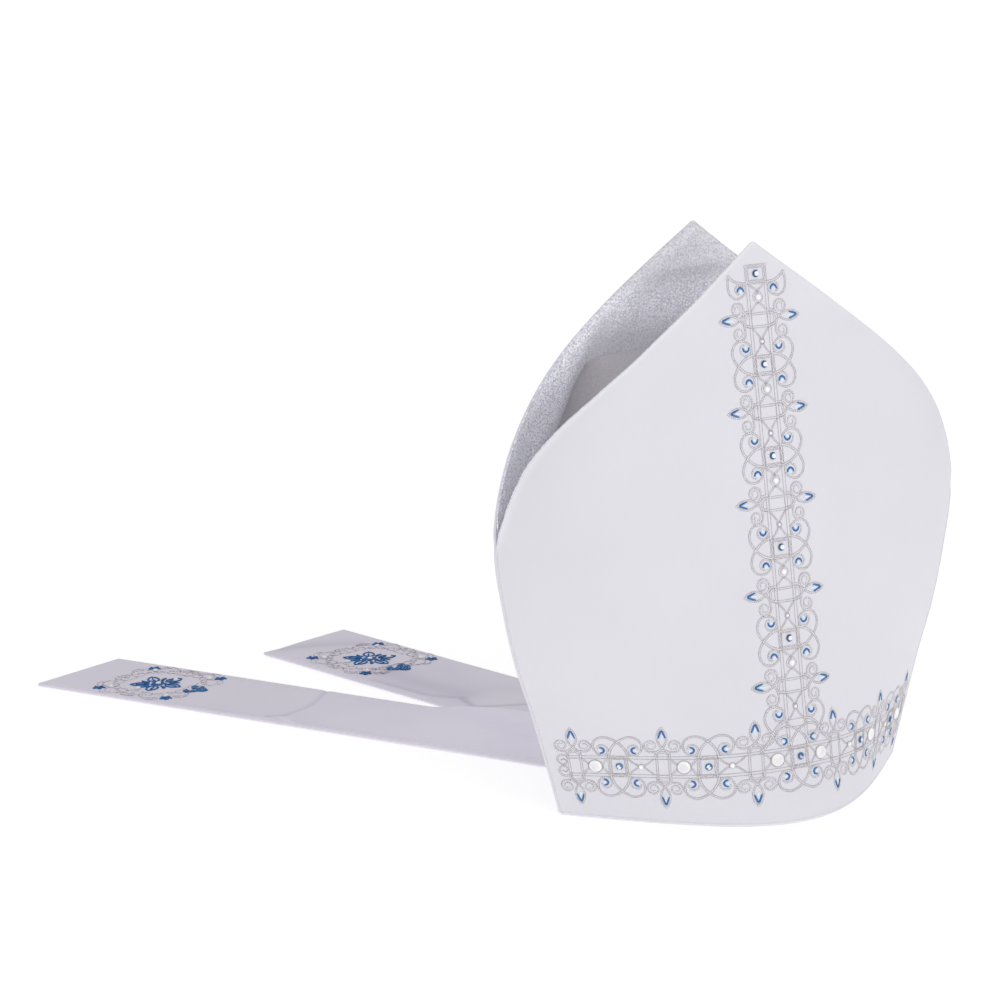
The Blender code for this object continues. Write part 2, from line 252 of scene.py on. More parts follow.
def new_piece(name, points, faces, material, cloth=None):
    """A mesh object with smooth faces, and its flat cloth coordinates as a UV map."""
    mesh = bpy.data.meshes.new(name)
    mesh.from_pydata(np.asarray(points).tolist(), [], faces)
    mesh.materials.append(material)
    mesh.shade_smooth()
    if cloth is not None:
        corners = np.zeros(len(mesh.loops), int)
        mesh.loops.foreach_get("vertex_index", corners)
        layer = mesh.uv_layers.new(name="cloth")
        layer.data.foreach_set("uv", np.asarray(cloth, np.float32)[corners].ravel())
    piece = bpy.data.objects.new(name, mesh)
    bpy.context.scene.collection.objects.link(piece)
    return piece


def closed_sheet(outer, inner, roll_steps=0):
    """Points and faces of a sheet between the grids of its two faces, and the border's rows and columns.
    Its edge is rolled half round past both grids, in this many steps, or straight where there are none."""
    rows, columns = outer.shape[:2]
    border = [(0, j) for j in range(columns)] + [(i, columns - 1) for i in range(1, rows)]
    border += [(rows - 1, j) for j in range(columns - 2, -1, -1)] + [(i, 0) for i in range(rows - 2, 0, -1)]
    bi, bj = np.array(border).T
    size = rows * columns
    edge = bi * columns + bj
    rings = []
    if roll_steps:
        middle = (outer[bi, bj] + inner[bi, bj]) / 2
        through = (outer[bi, bj] - inner[bi, bj]) / 2
        away = np.cross(np.roll(middle, -1, 0) - np.roll(middle, 1, 0), through)
        away /= np.linalg.norm(away, axis=1)[:, None]
        if ((middle - middle.mean(0)) * away).sum() < 0:
            away = -away
        half = np.linalg.norm(through, axis=1)[:, None]
        turns = [pi * k / (roll_steps + 1) for k in range(1, roll_steps + 1)]
        rings = [middle + through * cos(turn) + away * half * sin(turn) for turn in turns]
    rolled = [2 * size + k * len(edge) + np.arange(len(edge)) for k in range(roll_steps)]
    loops = [edge] + rolled + [edge + size]
    first = (np.arange(rows - 1)[:, None] * columns + np.arange(columns - 1)[None]).ravel()
    quads = np.stack([first, first + 1, first + columns + 1, first + columns], 1)
    faces = [quads, quads[:, ::-1] + size]
    for here, after in zip(loops, loops[1:]):
        faces.append(np.stack([here, after, np.roll(after, -1), np.roll(here, -1)], 1))
    points = np.concatenate([outer.reshape(-1, 3), inner.reshape(-1, 3)] + rings)
    faces = np.concatenate(faces)
    a, b, c, d = (points[faces[:, k]] for k in range(4))
    volume = (a * (np.cross(b, c) + np.cross(c, d))).sum()
    return points, faces if volume > 0 else faces[:, ::-1], (bi, bj)


def rolled_sheet(name, outer, inner, cloth, material, roll_steps):
    points, faces, border = closed_sheet(outer, inner, roll_steps)
    flat = np.concatenate([cloth.reshape(-1, 2)] * 2 + [cloth[border]] * roll_steps)
    return new_piece(name, points, faces.tolist(), material, flat)


def wall(name, side, material, outer_inset, inner_inset, margin, roll_steps=ROLL_STEPS, loose=None):
    """A bent wall that follows a panel from the hem to the point, between two insets from its face."""
    half = (inner_inset - outer_inset) / 2
    top = margin + half * (1 - EDGE_THINNING)
    rows = np.linspace(margin + half, APEX_HEIGHT[side] - top * POINT_TURN, WALL_ROWS)
    rows = np.concatenate([rows[0] + HEM_CORNER * np.array(HEM_CORNER_ROWS), rows[1:]])
    from_corner = np.maximum(1 - (rows[:, None] - rows[0]) / HEM_CORNER, 0)
    rounded = HEM_CORNER * (1 - np.sqrt(1 - from_corner ** 2))
    places = np.linspace(-1.0, 1.0, WALL_COLUMNS + 1)
    places = (1 - COLUMN_CROWDING) * places + COLUMN_CROWDING * np.sin(places * pi / 2)
    arch = BACK_HEM_ARCH if side == BACK else 0.0
    lift = arch * (1 - places[None] ** 2) ** 2 * np.clip(1 - rows[:, None] / ARCH_FADE, 0, 1)
    height = rows[:, None] + lift
    free = np.clip((height - SHOULDER_HEIGHT) / FREE_RUN, 0, 1)
    grids = []
    for inset in (outer_inset, inner_inset):
        x = places[None] * (reach(side, height, inset, margin + half * (1 - EDGE_THINNING * free)) - rounded)
        from_edge = half_width_at(level(side, height)) - np.abs(x)
        inset = inset * (1 - EDGE_THINNING * free * np.exp(-(from_edge / EDGE_RUN) ** 2))
        inset = inset + (0.0 if loose is None else loose(x, height))
        grids.append(np.stack([x, side * wall_depth(side, height, x, inset), height], 2))
    spans = np.linalg.norm(np.diff(grids[0], axis=1)[:, :, :2], axis=2)
    across = np.concatenate([np.zeros((len(rows), 1)), np.cumsum(spans, 1)], 1)
    across -= across[:, [WALL_COLUMNS // 2]]
    cloth = np.stack([across, height / cos(LEAN[side])], 2)
    return rolled_sheet(name, grids[0], grids[1], cloth, material, roll_steps)


def cloth_coordinates(tree, scale=(1.0, 1.0, 1.0)):
    """The flat cloth's own coordinates, in metres, scaled for a texture."""
    flat = add_node(tree, "ShaderNodeUVMap", uv_map="cloth").outputs["UV"]
    return add_node(tree, "ShaderNodeMapping", {"Vector": flat, "Scale": scale}).outputs["Vector"]


def noise(tree, vector, scale, detail=2.0, roughness=0.5):
    inputs = {"Vector": vector, "Scale": scale, "Detail": detail, "Roughness": roughness}
    return add_node(tree, "ShaderNodeTexNoise", inputs).outputs["Fac"]


def ramp(tree, value, stops):
    """A colour that runs through stops of (place, colour) as a value goes from 0 to 1."""
    node = add_node(tree, "ShaderNodeValToRGB", {"Fac": value})
    band = node.color_ramp
    while len(band.elements) < len(stops):
        band.elements.new(0.5)
    for element, (place, colour) in zip(band.elements, stops):
        element.position = place
        element.color = (*colour, 1.0)
    return node.outputs["Color"]


def bump(tree, height, strength, distance, below=None):
    inputs = {"Height": height, "Strength": strength, "Distance": distance}
    if below is not None:
        inputs["Normal"] = below
    return add_node(tree, "ShaderNodeBump", inputs).outputs["Normal"]


def product_and_sum(tree, value, factor, plus):
    inputs = {0: value, 1: factor, 2: plus}
    return add_node(tree, "ShaderNodeMath", inputs, operation="MULTIPLY_ADD").outputs[0]


SATIN_WARP, SATIN_SLUBS, SATIN_CLOUDS = 1100.0, 55.0, 9.0
SATIN_GRAIN = (420.0, 60.0, 1.0)
SATIN_GRAIN_SHARE = 0.16
SATIN_ROUGHNESS = 0.52
SATIN_LUSTRE = {"Sheen Weight": 0.03, "Specular IOR Level": 0.30}
SHADE_AT, LIGHT_AT = 0.40, 0.72
# Strength and depth of each layer of the satin's surface
SLUB_BUMP, FIBRE_BUMP, WARP_BUMP = (0.12, 0.0006), (0.08, 0.00025), (0.10, 0.00008)


def satin(name, light, shade):
    """Satin: long floating threads up the cloth, a soft uneven lustre and a trace of weave."""
    material, tree, shader = plain_material(name, light, SATIN_ROUGHNESS, SATIN_LUSTRE)
    flat = cloth_coordinates(tree)
    fibres = noise(tree, cloth_coordinates(tree, SATIN_GRAIN), 1.0, 3.0, 0.6)
    mixed = product_and_sum(tree, fibres, SATIN_GRAIN_SHARE, noise(tree, flat, SATIN_CLOUDS))
    weave = add_node(tree, "ShaderNodeTexWave", {"Vector": flat, "Scale": SATIN_WARP, "Distortion": 0.6})
    soft = bump(tree, noise(tree, flat, SATIN_SLUBS, 3.0), *SLUB_BUMP)
    fine = bump(tree, fibres, *FIBRE_BUMP, soft)
    feed(tree, shader, {"Base Color": ramp(tree, mixed, ((SHADE_AT, shade), (LIGHT_AT, light))),
                        "Normal": bump(tree, weave.outputs["Fac"], *WARP_BUMP, fine)})
    return material


def set_tone(piece, values):
    piece.data.attributes.new("tone", "FLOAT", "POINT").data.foreach_set("value", np.clip(values, 0, 1))


def tone_of_piece(tree):
    return add_node(tree, "ShaderNodeAttribute", attribute_name="tone").outputs["Fac"]


def toned(material, tones):
    """Multiply a material's colour by a ramp over the piece's own "tone" attribute."""
    tree = material.node_tree
    shader = tree.nodes["Principled BSDF"]
    plain = shader.inputs["Base Color"].links[0].from_socket
    both = add_node(tree, "ShaderNodeMix", data_type="RGBA", blend_type="MULTIPLY")
    feed(tree, both, {0: 1.0, 6: plain, 7: ramp(tree, tone_of_piece(tree), tones)})
    feed(tree, shader, {"Base Color": both.outputs[2]})


# Painted highlight: the rolled edges at the left and along the hem catch the light, painted as a paler tone
# of the satin: where it ends, counted inwards
LIT_EDGE, LIT_HEM = (0.0014, 0.0028), (0.0008, 0.0026)
REST_TONE, LIT_TONE = (0.885, 0.885, 0.885), (0.945, 0.945, 0.945)
white_satin = satin("white_satin", (0.838, 0.829, 0.887), (0.806, 0.797, 0.854))
toned(white_satin, ((0.0, REST_TONE), (1.0, LIT_TONE)))
front_panel = wall("front_panel_satin", FRONT, white_satin, 0.0, PANEL_THICKNESS, 0.0)
back_panel = wall("back_panel_satin", BACK, white_satin, 0.0, PANEL_THICKNESS, 0.0)
# Paint the highlight on the left edges and along the hem into each panel's tone
for panel in (front_panel, back_panel):
    x, _, z = np.array([v.co for v in panel.data.vertices]).T
    from_edge = half_width_at(level(FRONT if panel is front_panel else BACK, z)) - np.abs(x)
    lit_edge = np.interp(from_edge, LIT_EDGE, (1.0, 0.0)) * (x < 0)
    set_tone(panel, np.maximum(lit_edge, np.interp(z, LIT_HEM, (1.0, 0.0))))
for piece, node in ((front_panel, "front_panel"), (back_panel, "back_panel")):
    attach(piece, "root")
    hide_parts(node)

# ---------------------------------------------------------------------------------------------------
# The linings: silver lame, glued flat inside each panel a little short of its rolled edge. The cloth is
# woven with flat metal thread, so it glitters in fine grains, and it is slightly loose in soft folds. The
# back lining is painted darker towards its top and beside the web's seam as painted shade, and its palest
# grains get a painted glint.

LINING_GAP = 0.0006
LINING_THICKNESS = 0.0009
LINING_MARGIN = 0.0001
BLACK, WHITE = (0.0, 0.0, 0.0), (1.0, 1.0, 1.0)
LAME_GRAIN, LAME_PATCHES = 1900.0, 850.0
LAME_PATCH_SHARE = 1.5
LAME_ROUGHNESS = 0.42
LAME_LUSTRE = {"Metallic": 0.08, "Sheen Weight": 0.7}
LAME_RANGE = {"From Min": 0.45, "From Max": 2.05}
LAME_LIGHT_AT = 0.62
LAME_FOLDS = (16.0, 7.0, 1.0)
LAME_FOLD_BUMP, LAME_GRAIN_BUMP = (0.6, 0.004), (0.5, 0.0002)
# Painted glint: the palest grains glow in this colour, from the first share of paleness to the second, and
# only where the piece's tone is above the last
GLINT = (0.82, 0.86, 1.0)
GLINT_FROM, GLINT_FULL, GLINT_TONE = 0.45, 0.85, 0.80
# Where the web is sewn on, inside both linings
WEB_LINE = np.array((
    # out from the middle, height
    (0.0000, 0.2470),
    (0.0570, 0.2465),
    (0.0680, 0.2435),
    (0.0765, 0.2330),
    (0.0828, 0.2195),
    (0.0920, 0.2035),
    (0.1080, 0.1875),
    (0.1280, 0.1720),
    (0.1400, 0.1625),
))
web_height_at = smooth_curve(WEB_LINE[:, 0], WEB_LINE[:, 1])
# Painted light and shade: how pale the lining is painted at each height, darker towards the top
PAINTED_PALENESS = ((0.205, 0.245, 0.270, 0.290), (1.00, 0.97, 0.95, 0.83))
# How much painted shade darkens it beside the web's seam, and how far up that runs: inside the seam's bends,
# and beyond
SEAM_SHADE = 0.20
SEAM_SHADE_RUN = (0.018, 0.008)
SEAM_BENDS = (0.060, 0.075)
LINING_FOLDS = (
    # a soft ridge off the panel: middle (x, height), half lengths (along, across), tilt, rise
    (0.004, 0.2915, 0.026, 0.0038, 0.06, 0.0022),
    (-0.046, 0.2640, 0.020, 0.0050, 0.95, 0.0012),
    (-0.078, 0.2440, 0.022, 0.0050, 0.80, 0.0010),
    (-0.104, 0.2060, 0.020, 0.0050, 1.05, 0.0010),
)


def lining_folds(x, height):
    rise = np.zeros_like(x)
    for middle, level_at, long, across, tilt, most in LINING_FOLDS:
        along = (x - middle) * cos(tilt) + (height - level_at) * sin(tilt)
        aside = (height - level_at) * cos(tilt) - (x - middle) * sin(tilt)
        rise += most * np.exp(-(along / long) ** 2 - (aside / across) ** 2)
    return rise


def painted_light_share(x, height):
    """The painted light and shade on the lining at each place, from 0 to 1: darker towards the top and beside
    the web's seam.
    """
    pale = np.interp(height, *PAINTED_PALENESS)
    away = np.maximum(height - web_height_at(np.abs(x)), 0.0)
    run = np.interp(np.abs(x), SEAM_BENDS, SEAM_SHADE_RUN)
    return pale * (1 - SEAM_SHADE * np.exp(-(away / run) ** 2))


def lame(name, light, shade, spark, glint=0.0):
    """Cloth of flat metal thread: grains that differ one by one and in small patches, the palest given a
    painted glint that glows.
    """
    material, tree, shader = plain_material(name, light, LAME_ROUGHNESS, LAME_LUSTRE)
    flat = cloth_coordinates(tree)
    grains = add_node(tree, "ShaderNodeTexVoronoi", {"Vector": flat, "Scale": LAME_GRAIN})
    one_by_one = add_node(tree, "ShaderNodeSeparateColor", {"Color": grains.outputs["Color"]}).outputs
    patches_there = noise(tree, flat, LAME_PATCHES, 3.0, 0.65)
    patchy = product_and_sum(tree, patches_there, LAME_PATCH_SHARE, one_by_one["Red"])
    pale = add_node(tree, "ShaderNodeMapRange", {**LAME_RANGE, "Value": patchy}).outputs["Result"]
    soft = bump(tree, noise(tree, cloth_coordinates(tree, LAME_FOLDS), 1.0, 1.0), *LAME_FOLD_BUMP)
    colour = ramp(tree, pale, ((0.0, shade), (LAME_LIGHT_AT, light), (1.0, spark)))
    feed(tree, shader, {"Base Color": colour,
                        "Normal": bump(tree, one_by_one["Green"], *LAME_GRAIN_BUMP, soft)})
    toned(material, ((0.0, BLACK), (1.0, WHITE)))
    # Painted glint: the palest grains glow, scaled by the piece's tone
    if glint:
        where = {"Value": tone_of_piece(tree), "From Min": GLINT_TONE, "To Max": glint}
        feed(tree, shader, {
            "Emission Color": ramp(tree, pale, ((GLINT_FROM, BLACK), (GLINT_FULL, GLINT))),
            "Emission Strength": add_node(tree, "ShaderNodeMapRange", where).outputs["Result"]})
    return material


silver_lame = lame("silver_lame", (0.94, 0.93, 1.0), (0.53, 0.52, 0.59), WHITE, 0.44)
lining_outer = PANEL_THICKNESS + LINING_GAP
lining_inner = lining_outer + LINING_THICKNESS
for side, node in ((FRONT, "front_lining"), (BACK, "back_lining")):
    lining = wall(node + "_lame", side, silver_lame, lining_outer, lining_inner, LINING_MARGIN, 1,
                  lining_folds if side == BACK else None)
    places = np.array([v.co for v in lining.data.vertices])
    set_tone(lining, painted_light_share(places[:, 0], places[:, 2]) if side == BACK else np.ones(len(places)))
    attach(lining, "root")
    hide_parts(node)

# ---------------------------------------------------------------------------------------------------
# The web: a piece of grey brown lame sewn to both linings, that closes the cleft above the head, its colour
# painted dull and dark for the shade deep in the cleft. It is level across the middle, falls to each
# shoulder, and sags between its two seams.

WEB_THICKNESS = 0.0012
WEB_SAG = 0.13
WEB_STEPS_OUT = 56
WEB_STEPS_ACROSS = 24
SEWN_IN = 0.0003
# Painted light: it is painted palest where it turns up to meet the back lining, along the level part of that
# seam
WEB_REST_TONE, WEB_LIT_TONE = 0.74, 1.0
WEB_TURN_UP = 0.014
WEB_LEVEL_END = (0.058, 0.070)

web_inset = lining_inner - SEWN_IN
out = np.linspace(-1, 1, 2 * WEB_STEPS_OUT + 1)[:, None] * WEB_LINE[-1, 0]
line = web_height_at(np.abs(out))
slope = (web_height_at(np.abs(out) + MM) - line) / MM
share = np.linspace(0.0, 1.0, WEB_STEPS_ACROSS + 1)[None]
web_faces = []
for drop in (0.0, WEB_THICKNESS):
    ends = [side * wall_depth(side, line, out, web_inset) for side in (FRONT, BACK)]
    sag = WEB_SAG * (ends[1] - ends[0]) * 4 * share * (1 - share)
    z = line - sag - drop * np.sqrt(1 + slope ** 2)
    y = ends[0] + (ends[1] - ends[0]) * share
    x = out + 0 * share
    limits = [side * wall_depth(side, z, x, web_inset) for side in (FRONT, BACK)]
    web_faces.append(np.stack([x, np.clip(y, limits[0], limits[1]), z], 2))
web_cloth = np.stack([x, y], 2)
shaded_web_lame = lame("shaded_web_lame", (0.57, 0.535, 0.575), (0.45, 0.42, 0.455), (0.63, 0.595, 0.64))
web = rolled_sheet("crown_web_lame", web_faces[0], web_faces[1], web_cloth, shaded_web_lame, 1)
places = np.array([v.co for v in web.data.vertices])
back_seam = wall_depth(BACK, places[:, 2], places[:, 0], web_inset)
turned_up = np.exp(-((back_seam - places[:, 1]) / WEB_TURN_UP) ** 2)
level_part = np.interp(np.abs(places[:, 0]), WEB_LEVEL_END, (1.0, 0.0))
set_tone(web, WEB_REST_TONE + (WEB_LIT_TONE - WEB_REST_TONE) * turned_up * level_part)
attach(web, "root")
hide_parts("crown_web")

# ---------------------------------------------------------------------------------------------------
# The seams: machine stitches in white thread. They hold the panels' turned-in edges, close beside both
# side seams and just above the hem.

STITCH = 0.0022
# Half the length of each stitch as a share of their spacing, and how far it lies askew
STITCH_HALF = 0.60
THREAD_TWIST = radians(9)
STITCH_THREAD = 0.00042
THREAD_PLIES = 4200.0
THREAD_BUMP = (0.5, 0.0001)
THREAD_SHADE_AT, THREAD_LIGHT_AT = 0.35, 0.65
SEAM_MARGIN = 0.0014
HEM_MARGIN = 0.0017
SEAM_LIFT = 0.00008
SEAM_STEPS_UP, SEAM_STEPS_ACROSS, FACE_STEPS = 60, 160, 220
# How far apart two places are whose difference gives the cloth's slope
SLOPE_STEP = 0.0002


def face_point(side, x, height, lift=0.0):
    """Points on a panel's outer face, raised along its outward normal, and those normals."""
    depth = wall_depth(side, height, x)
    across = (wall_depth(side, height, x + SLOPE_STEP) - depth) / SLOPE_STEP
    upwards = (wall_depth(side, height + SLOPE_STEP, x) - depth) / SLOPE_STEP
    outward = np.stack([-across, np.full_like(depth, side), -upwards], -1)
    outward /= np.linalg.norm(outward, axis=-1)[..., None]
    return np.stack([x, side * depth, height], -1) + outward * lift, outward


def across_at(side, height, distance):
    """The x that lies a distance along a panel's face from its middle line, at each height."""
    height, distance = np.broadcast_arrays(np.asarray(height, float), np.asarray(distance, float))
    x = np.linspace(0.0, 1.0, FACE_STEPS)[None] * half_width_at(level(side, height)).reshape(-1, 1)
    depth = wall_depth(side, height.reshape(-1, 1), x)
    runs = np.cumsum(np.hypot(np.diff(x, axis=1), np.diff(depth, axis=1)), 1)
    runs = np.concatenate([np.zeros((len(x), 1)), runs], 1)
    flat = distance.ravel()
    found = [np.interp(abs(d), run, places) for d, run, places in zip(flat, runs, x)]
    return (np.array(found) * np.sign(flat)).reshape(distance.shape)


def path_mesh(name, lines):
    """Loose edges through lines of (points, outward normals), for a tree that lays thread along them."""
    points = np.concatenate([line[0] for line in lines])
    outward = np.concatenate([line[1] for line in lines])
    edges, start = [], 0
    for line in lines:
        edges += [(start + i, start + i + 1) for i in range(len(line[0]) - 1)]
        start += len(line[0])
    mesh = bpy.data.meshes.new(name)
    mesh.from_pydata(points.tolist(), edges, [])
    mesh.attributes.new("outward", "FLOAT_VECTOR", "POINT").data.foreach_set("vector", outward.ravel())
    piece = bpy.data.objects.new(name, mesh)
    bpy.context.scene.collection.objects.link(piece)
    return piece


def new_tree(name, sizes):
    """An empty tree, the outputs that give its geometry, sizes and material, and its result node."""
    tree = bpy.data.node_groups.new(name, "GeometryNodeTree")
    sockets = [("Geometry", "INPUT", "Geometry")] + [(size, "INPUT", "Float") for size in sizes]
    sockets += [("Material", "INPUT", "Material"), ("Geometry", "OUTPUT", "Geometry")]
    for word, way, kind in sockets:
        tree.interface.new_socket(word, in_out=way, socket_type="NodeSocket" + kind)
    return tree, tree.nodes.new("NodeGroupInput").outputs, tree.nodes.new("NodeGroupOutput")


def thread_tree():
    """Stitches end to end along a path: each a slim seed of thread, flat on the cloth."""
    tree, given, result = new_tree("thread_stitches", ("Stitch", "Width", "Rise"))
    line = add_node(tree, "GeometryNodeMeshToCurve", {"Mesh": given["Geometry"]}).outputs["Curve"]
    spaced = add_node(tree, "GeometryNodeResampleCurve", mode="LENGTH")
    feed(tree, spaced, {"Curve": line, "Length": given["Stitch"]})
    tangent = add_node(tree, "GeometryNodeInputTangent").outputs["Tangent"]
    outward = add_node(tree, "GeometryNodeInputNamedAttribute", {"Name": "outward"},
                       data_type="FLOAT_VECTOR")
    ahead = add_node(tree, "FunctionNodeAlignRotationToVector", {"Vector": tangent}, axis="X")
    upright = add_node(tree, "FunctionNodeAlignRotationToVector", axis="Z", pivot_axis="X")
    feed(tree, upright, {"Rotation": ahead.outputs["Rotation"], "Vector": outward.outputs["Attribute"]})
    twist = add_node(tree, "FunctionNodeRotateRotation", rotation_space="LOCAL")
    feed(tree, twist, {"Rotation": upright.outputs["Rotation"], "Rotate By": (0.0, 0.0, THREAD_TWIST)})
    seed = add_node(tree, "GeometryNodeMeshUVSphere", {"Segments": 4, "Rings": 4})
    half_length = add_node(tree, "ShaderNodeMath", {0: given["Stitch"], 1: STITCH_HALF}, operation="MULTIPLY")
    size = {"X": half_length.outputs[0], "Y": given["Width"], "Z": given["Rise"]}
    lay = add_node(tree, "GeometryNodeInstanceOnPoints", {
        "Points": spaced.outputs["Curve"], "Instance": seed.outputs["Mesh"],
        "Rotation": twist.outputs["Rotation"],
        "Scale": add_node(tree, "ShaderNodeCombineXYZ", size).outputs["Vector"]})
    real = add_node(tree, "GeometryNodeRealizeInstances", {"Geometry": lay.outputs["Instances"]})
    smooth = add_node(tree, "GeometryNodeSetShadeSmooth", {"Geometry": real.outputs["Geometry"]})
    finish = {"Geometry": smooth.outputs["Geometry"], "Material": given["Material"]}
    made = add_node(tree, "GeometryNodeSetMaterial", finish).outputs["Geometry"]
    feed(tree, result, {"Geometry": made})
    return tree


def grown(piece, tree, material, sizes):
    """Run a tree on a piece, keep what it makes as the piece's plain mesh, and remove the modifier."""
    modifier = piece.modifiers.new("grown", "NODES")
    modifier.node_group = tree
    sockets = {item.name: item.identifier for item in tree.interface.items_tree if item.in_out == "INPUT"}
    for name, value in sizes.items():
        modifier[sockets[name]] = value
    modifier[sockets["Material"]] = material
    bpy.context.view_layer.update()
    depsgraph = bpy.context.evaluated_depsgraph_get()
    made = bpy.data.meshes.new_from_object(piece.evaluated_get(depsgraph), depsgraph=depsgraph)
    piece.modifiers.remove(modifier)
    piece.data = made
    return piece


stitches = thread_tree()


def thread_material(name, light, shade, roughness=0.42, fineness=700.0, sheen=0.3):
    """Rayon thread: fine twisted plies with a soft shine, a little uneven from stitch to stitch."""
    material, tree, shader = plain_material(name, light, roughness, {"Sheen Weight": sheen})
    place = object_place(tree)
    uneven = noise(tree, place, fineness, 1.0)
    colour = ramp(tree, uneven, ((THREAD_SHADE_AT, shade), (THREAD_LIGHT_AT, light)))
    plies = bump(tree, noise(tree, place, THREAD_PLIES, 1.0), *THREAD_BUMP)
    feed(tree, shader, {"Base Color": colour, "Normal": plies})
    return material


white_thread = thread_material("white_thread", (0.80, 0.79, 0.83), (0.70, 0.69, 0.73))
for side, word in ((FRONT, "front"), (BACK, "back")):
    lines = []
    up = np.linspace(HEM_MARGIN, SHOULDER_HEIGHT, SEAM_STEPS_UP)
    for hand in (-1, 1):
        x = hand * (reach(side, up, 0.0, 0.0) - SEAM_MARGIN)
        lines.append(face_point(side, x, up, SEAM_LIFT))
    x = np.linspace(-1, 1, SEAM_STEPS_ACROSS) * (half_width_at(HEM_MARGIN) - SEAM_MARGIN)
    arch = (BACK_HEM_ARCH if side == BACK else 0.0) * (1 - (x / half_width_at(0.0)) ** 2) ** 2
    lines.append(face_point(side, x, HEM_MARGIN + arch, SEAM_LIFT))
    seams = path_mesh(f"{word}_seam_stitches", lines)
    sizes = {"Stitch": STITCH, "Width": STITCH_THREAD / 2, "Rise": STITCH_THREAD / 3}
    grown(seams, stitches, white_thread, sizes)
    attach(seams, "root")

# ---------------------------------------------------------------------------------------------------
# The embroidery: one band up the middle of the front panel and one above its hem, machine worked
# in silver grey thread. Each repeat has a square block between two pairs of scrolls, and a bar with a
# pointed leaf and two small spirals at each end. Almost every line is worked double, round a white cord.

REPEAT = 50.0
# The middle line of the band above the hem
BASE_BAND = np.array((
    # place in repeats, along the front from its middle, height
    (-2.5, -125.0, 31.3),
    (-2.0, -100.2, 32.7),
    (-1.0, -51.1, 34.1),
    (0.0, 1.6, 36.0),
    (1.0, 52.0, 34.0),
    (2.0, 100.3, 32.2),
    (2.5, 125.0, 31.3),
))
# The band is drawn in by these shares above and below its middle
BASE_BAND_NARROWER = (0.905, 0.945)
BASE_BAND_FAN = 0.0008
UPRIGHT_FOOT = 34.6
FIRST_BLOCK = 66.7
UPRIGHT_ASIDE = 0.9
UPRIGHT_BEND = 1.2
UPRIGHT_BLOCKS = 5
BASE_BLOCKS_EACH_SIDE = 2
GREY_STITCH = 1.25
GREY_THREAD = 0.42
WHITE_CORD = 0.66
# How high a thread stands, as a share of its width
THREAD_RISE = 0.30
THREAD_LIFT = 0.00010
RING_STEPS, SPIRAL_STEPS, STROKE_STEPS = 22, 40, 8
FIT_ROUNDS = 8

RAIL_OUT = 5.8
RAIL_GAP = 0.85
BLOCK_OUTER = (6.7, -6.2, 5.0)
BLOCK_INNER = (4.6, -4.2, 3.2)
ZIGZAG_WAVE = 1.9
ZIGZAG_HALF = 0.6
LAST_BLOCK_DROP = 0.8
BAR_DROP = 1.0
BAR_OUT = 5.1
BAR_HALF = 3.5
BAR_GAP = 0.55

# The points of a stroke are (out from the band's middle, along the band), in millimetres from the block
SCROLL = (
    (6.6, -5.4), (9.5, -4.6), (12.6, -3.0), (15.4, -0.6), (17.6, 2.4), (19.1, 6.2), (18.6, 9.8),
    (16.6, 12.5), (13.6, 13.6), (10.4, 13.0), (8.0, 11.2), (7.0, 8.9), (7.9, 6.5), (10.4, 5.4),
    (13.0, 6.4), (14.0, 8.8), (13.2, 10.7), (11.6, 11.3))
HORN = (
    (6.9, -5.8), (10.6, -5.3), (13.8, -4.0), (16.0, -2.3), (17.2, -0.9), (17.8, -3.2), (18.1, -6.2),
    (17.6, -9.8), (15.9, -12.3), (13.2, -13.5), (10.4, -13.0), (8.0, -11.2), (7.0, -8.9), (7.9, -7.1),
    (10.4, -6.3), (12.8, -7.0), (13.6, -8.9), (12.9, -10.6), (11.6, -11.3))
ARCH = ((6.6, 5.2), (9.8, 4.0), (12.9, 1.6), (15.5, -1.8), (18.1, -5.6), (20.6, -8.6), (23.5, -10.4))
LEAF = (
    (25.0, 0.2), (22.3, 1.9), (19.0, 2.6), (15.8, 2.1), (12.6, 0.3), (10.4, -2.2), (8.6, -3.6), (6.6, -3.9))
HOOK = ((6.4, 3.4), (8.4, 2.9), (9.2, 1.4), (9.3, -1.4), (8.4, -2.9), (6.4, -3.4))
SPIRAL_CENTRE = (13.6, 6.5)
SPIRAL_FROM = -165
SPIRAL_TAIL = ((10.1, 2.4), (9.8, 3.9))
SPIRAL_START, SPIRAL_END = 4.1, 1.2
SPIRAL_TURNS = 1.6
WAIST = (
    (4.8, 19.4), (3.1, 17.6), (1.6, 15.6), (0.7, 13.9), (1.2, 12.4), (0.7, 10.9), (1.8, 8.9), (3.3, 7.0),
    (4.8, 5.6))
NECK = ((4.8, -6.6), (2.6, -8.2), (0.9, -9.4), (-0.6, -10.6))
FOOT = ((0.5, -16.8), (2.2, -18.0), (3.4, -19.4), (4.8, -20.6))
PEARL_PLACE, SMALL_PEARL_PLACE = -13.5, 12.4
SMALL_RING = ((0.0, SMALL_PEARL_PLACE), 1.5)
UPRIGHT_RING, HEM_RING = 3.1, 4.1
END_CURL = (
    (6.4, 0.4), (7.0, 3.0), (5.6, 5.2), (3.0, 5.6), (0.9, 4.0), (0.8, 1.6), (2.6, 0.6), (4.2, 1.8),
    (3.6, 3.4))
# Half the gap between the two threads of a double line, and at its far end where it narrows
SCROLL_GAPS, HORN_GAPS, COIL_GAPS = (0.62, 0.25), (0.6, 0.25), (0.48, 0.2)
CURL_GAPS, LEAF_GAPS = (0.5, 0.25), (0.35, 0.55)
ARCH_GAPS, WAIST_GAPS, LINK_GAPS = (0.62,), (0.35,), (0.4,)
FOOT_BLOCK = (1.4, 5.4)
RAILS_PAST_FOOT, RAILS_PAST_BAND, CURL_PAST_BAND = 10.0, 4.0, 4.2

BOTH = ((-1, 1), (1, 1))
ALL_FOUR = ((-1, -1), (-1, 1), (1, -1), (1, 1))


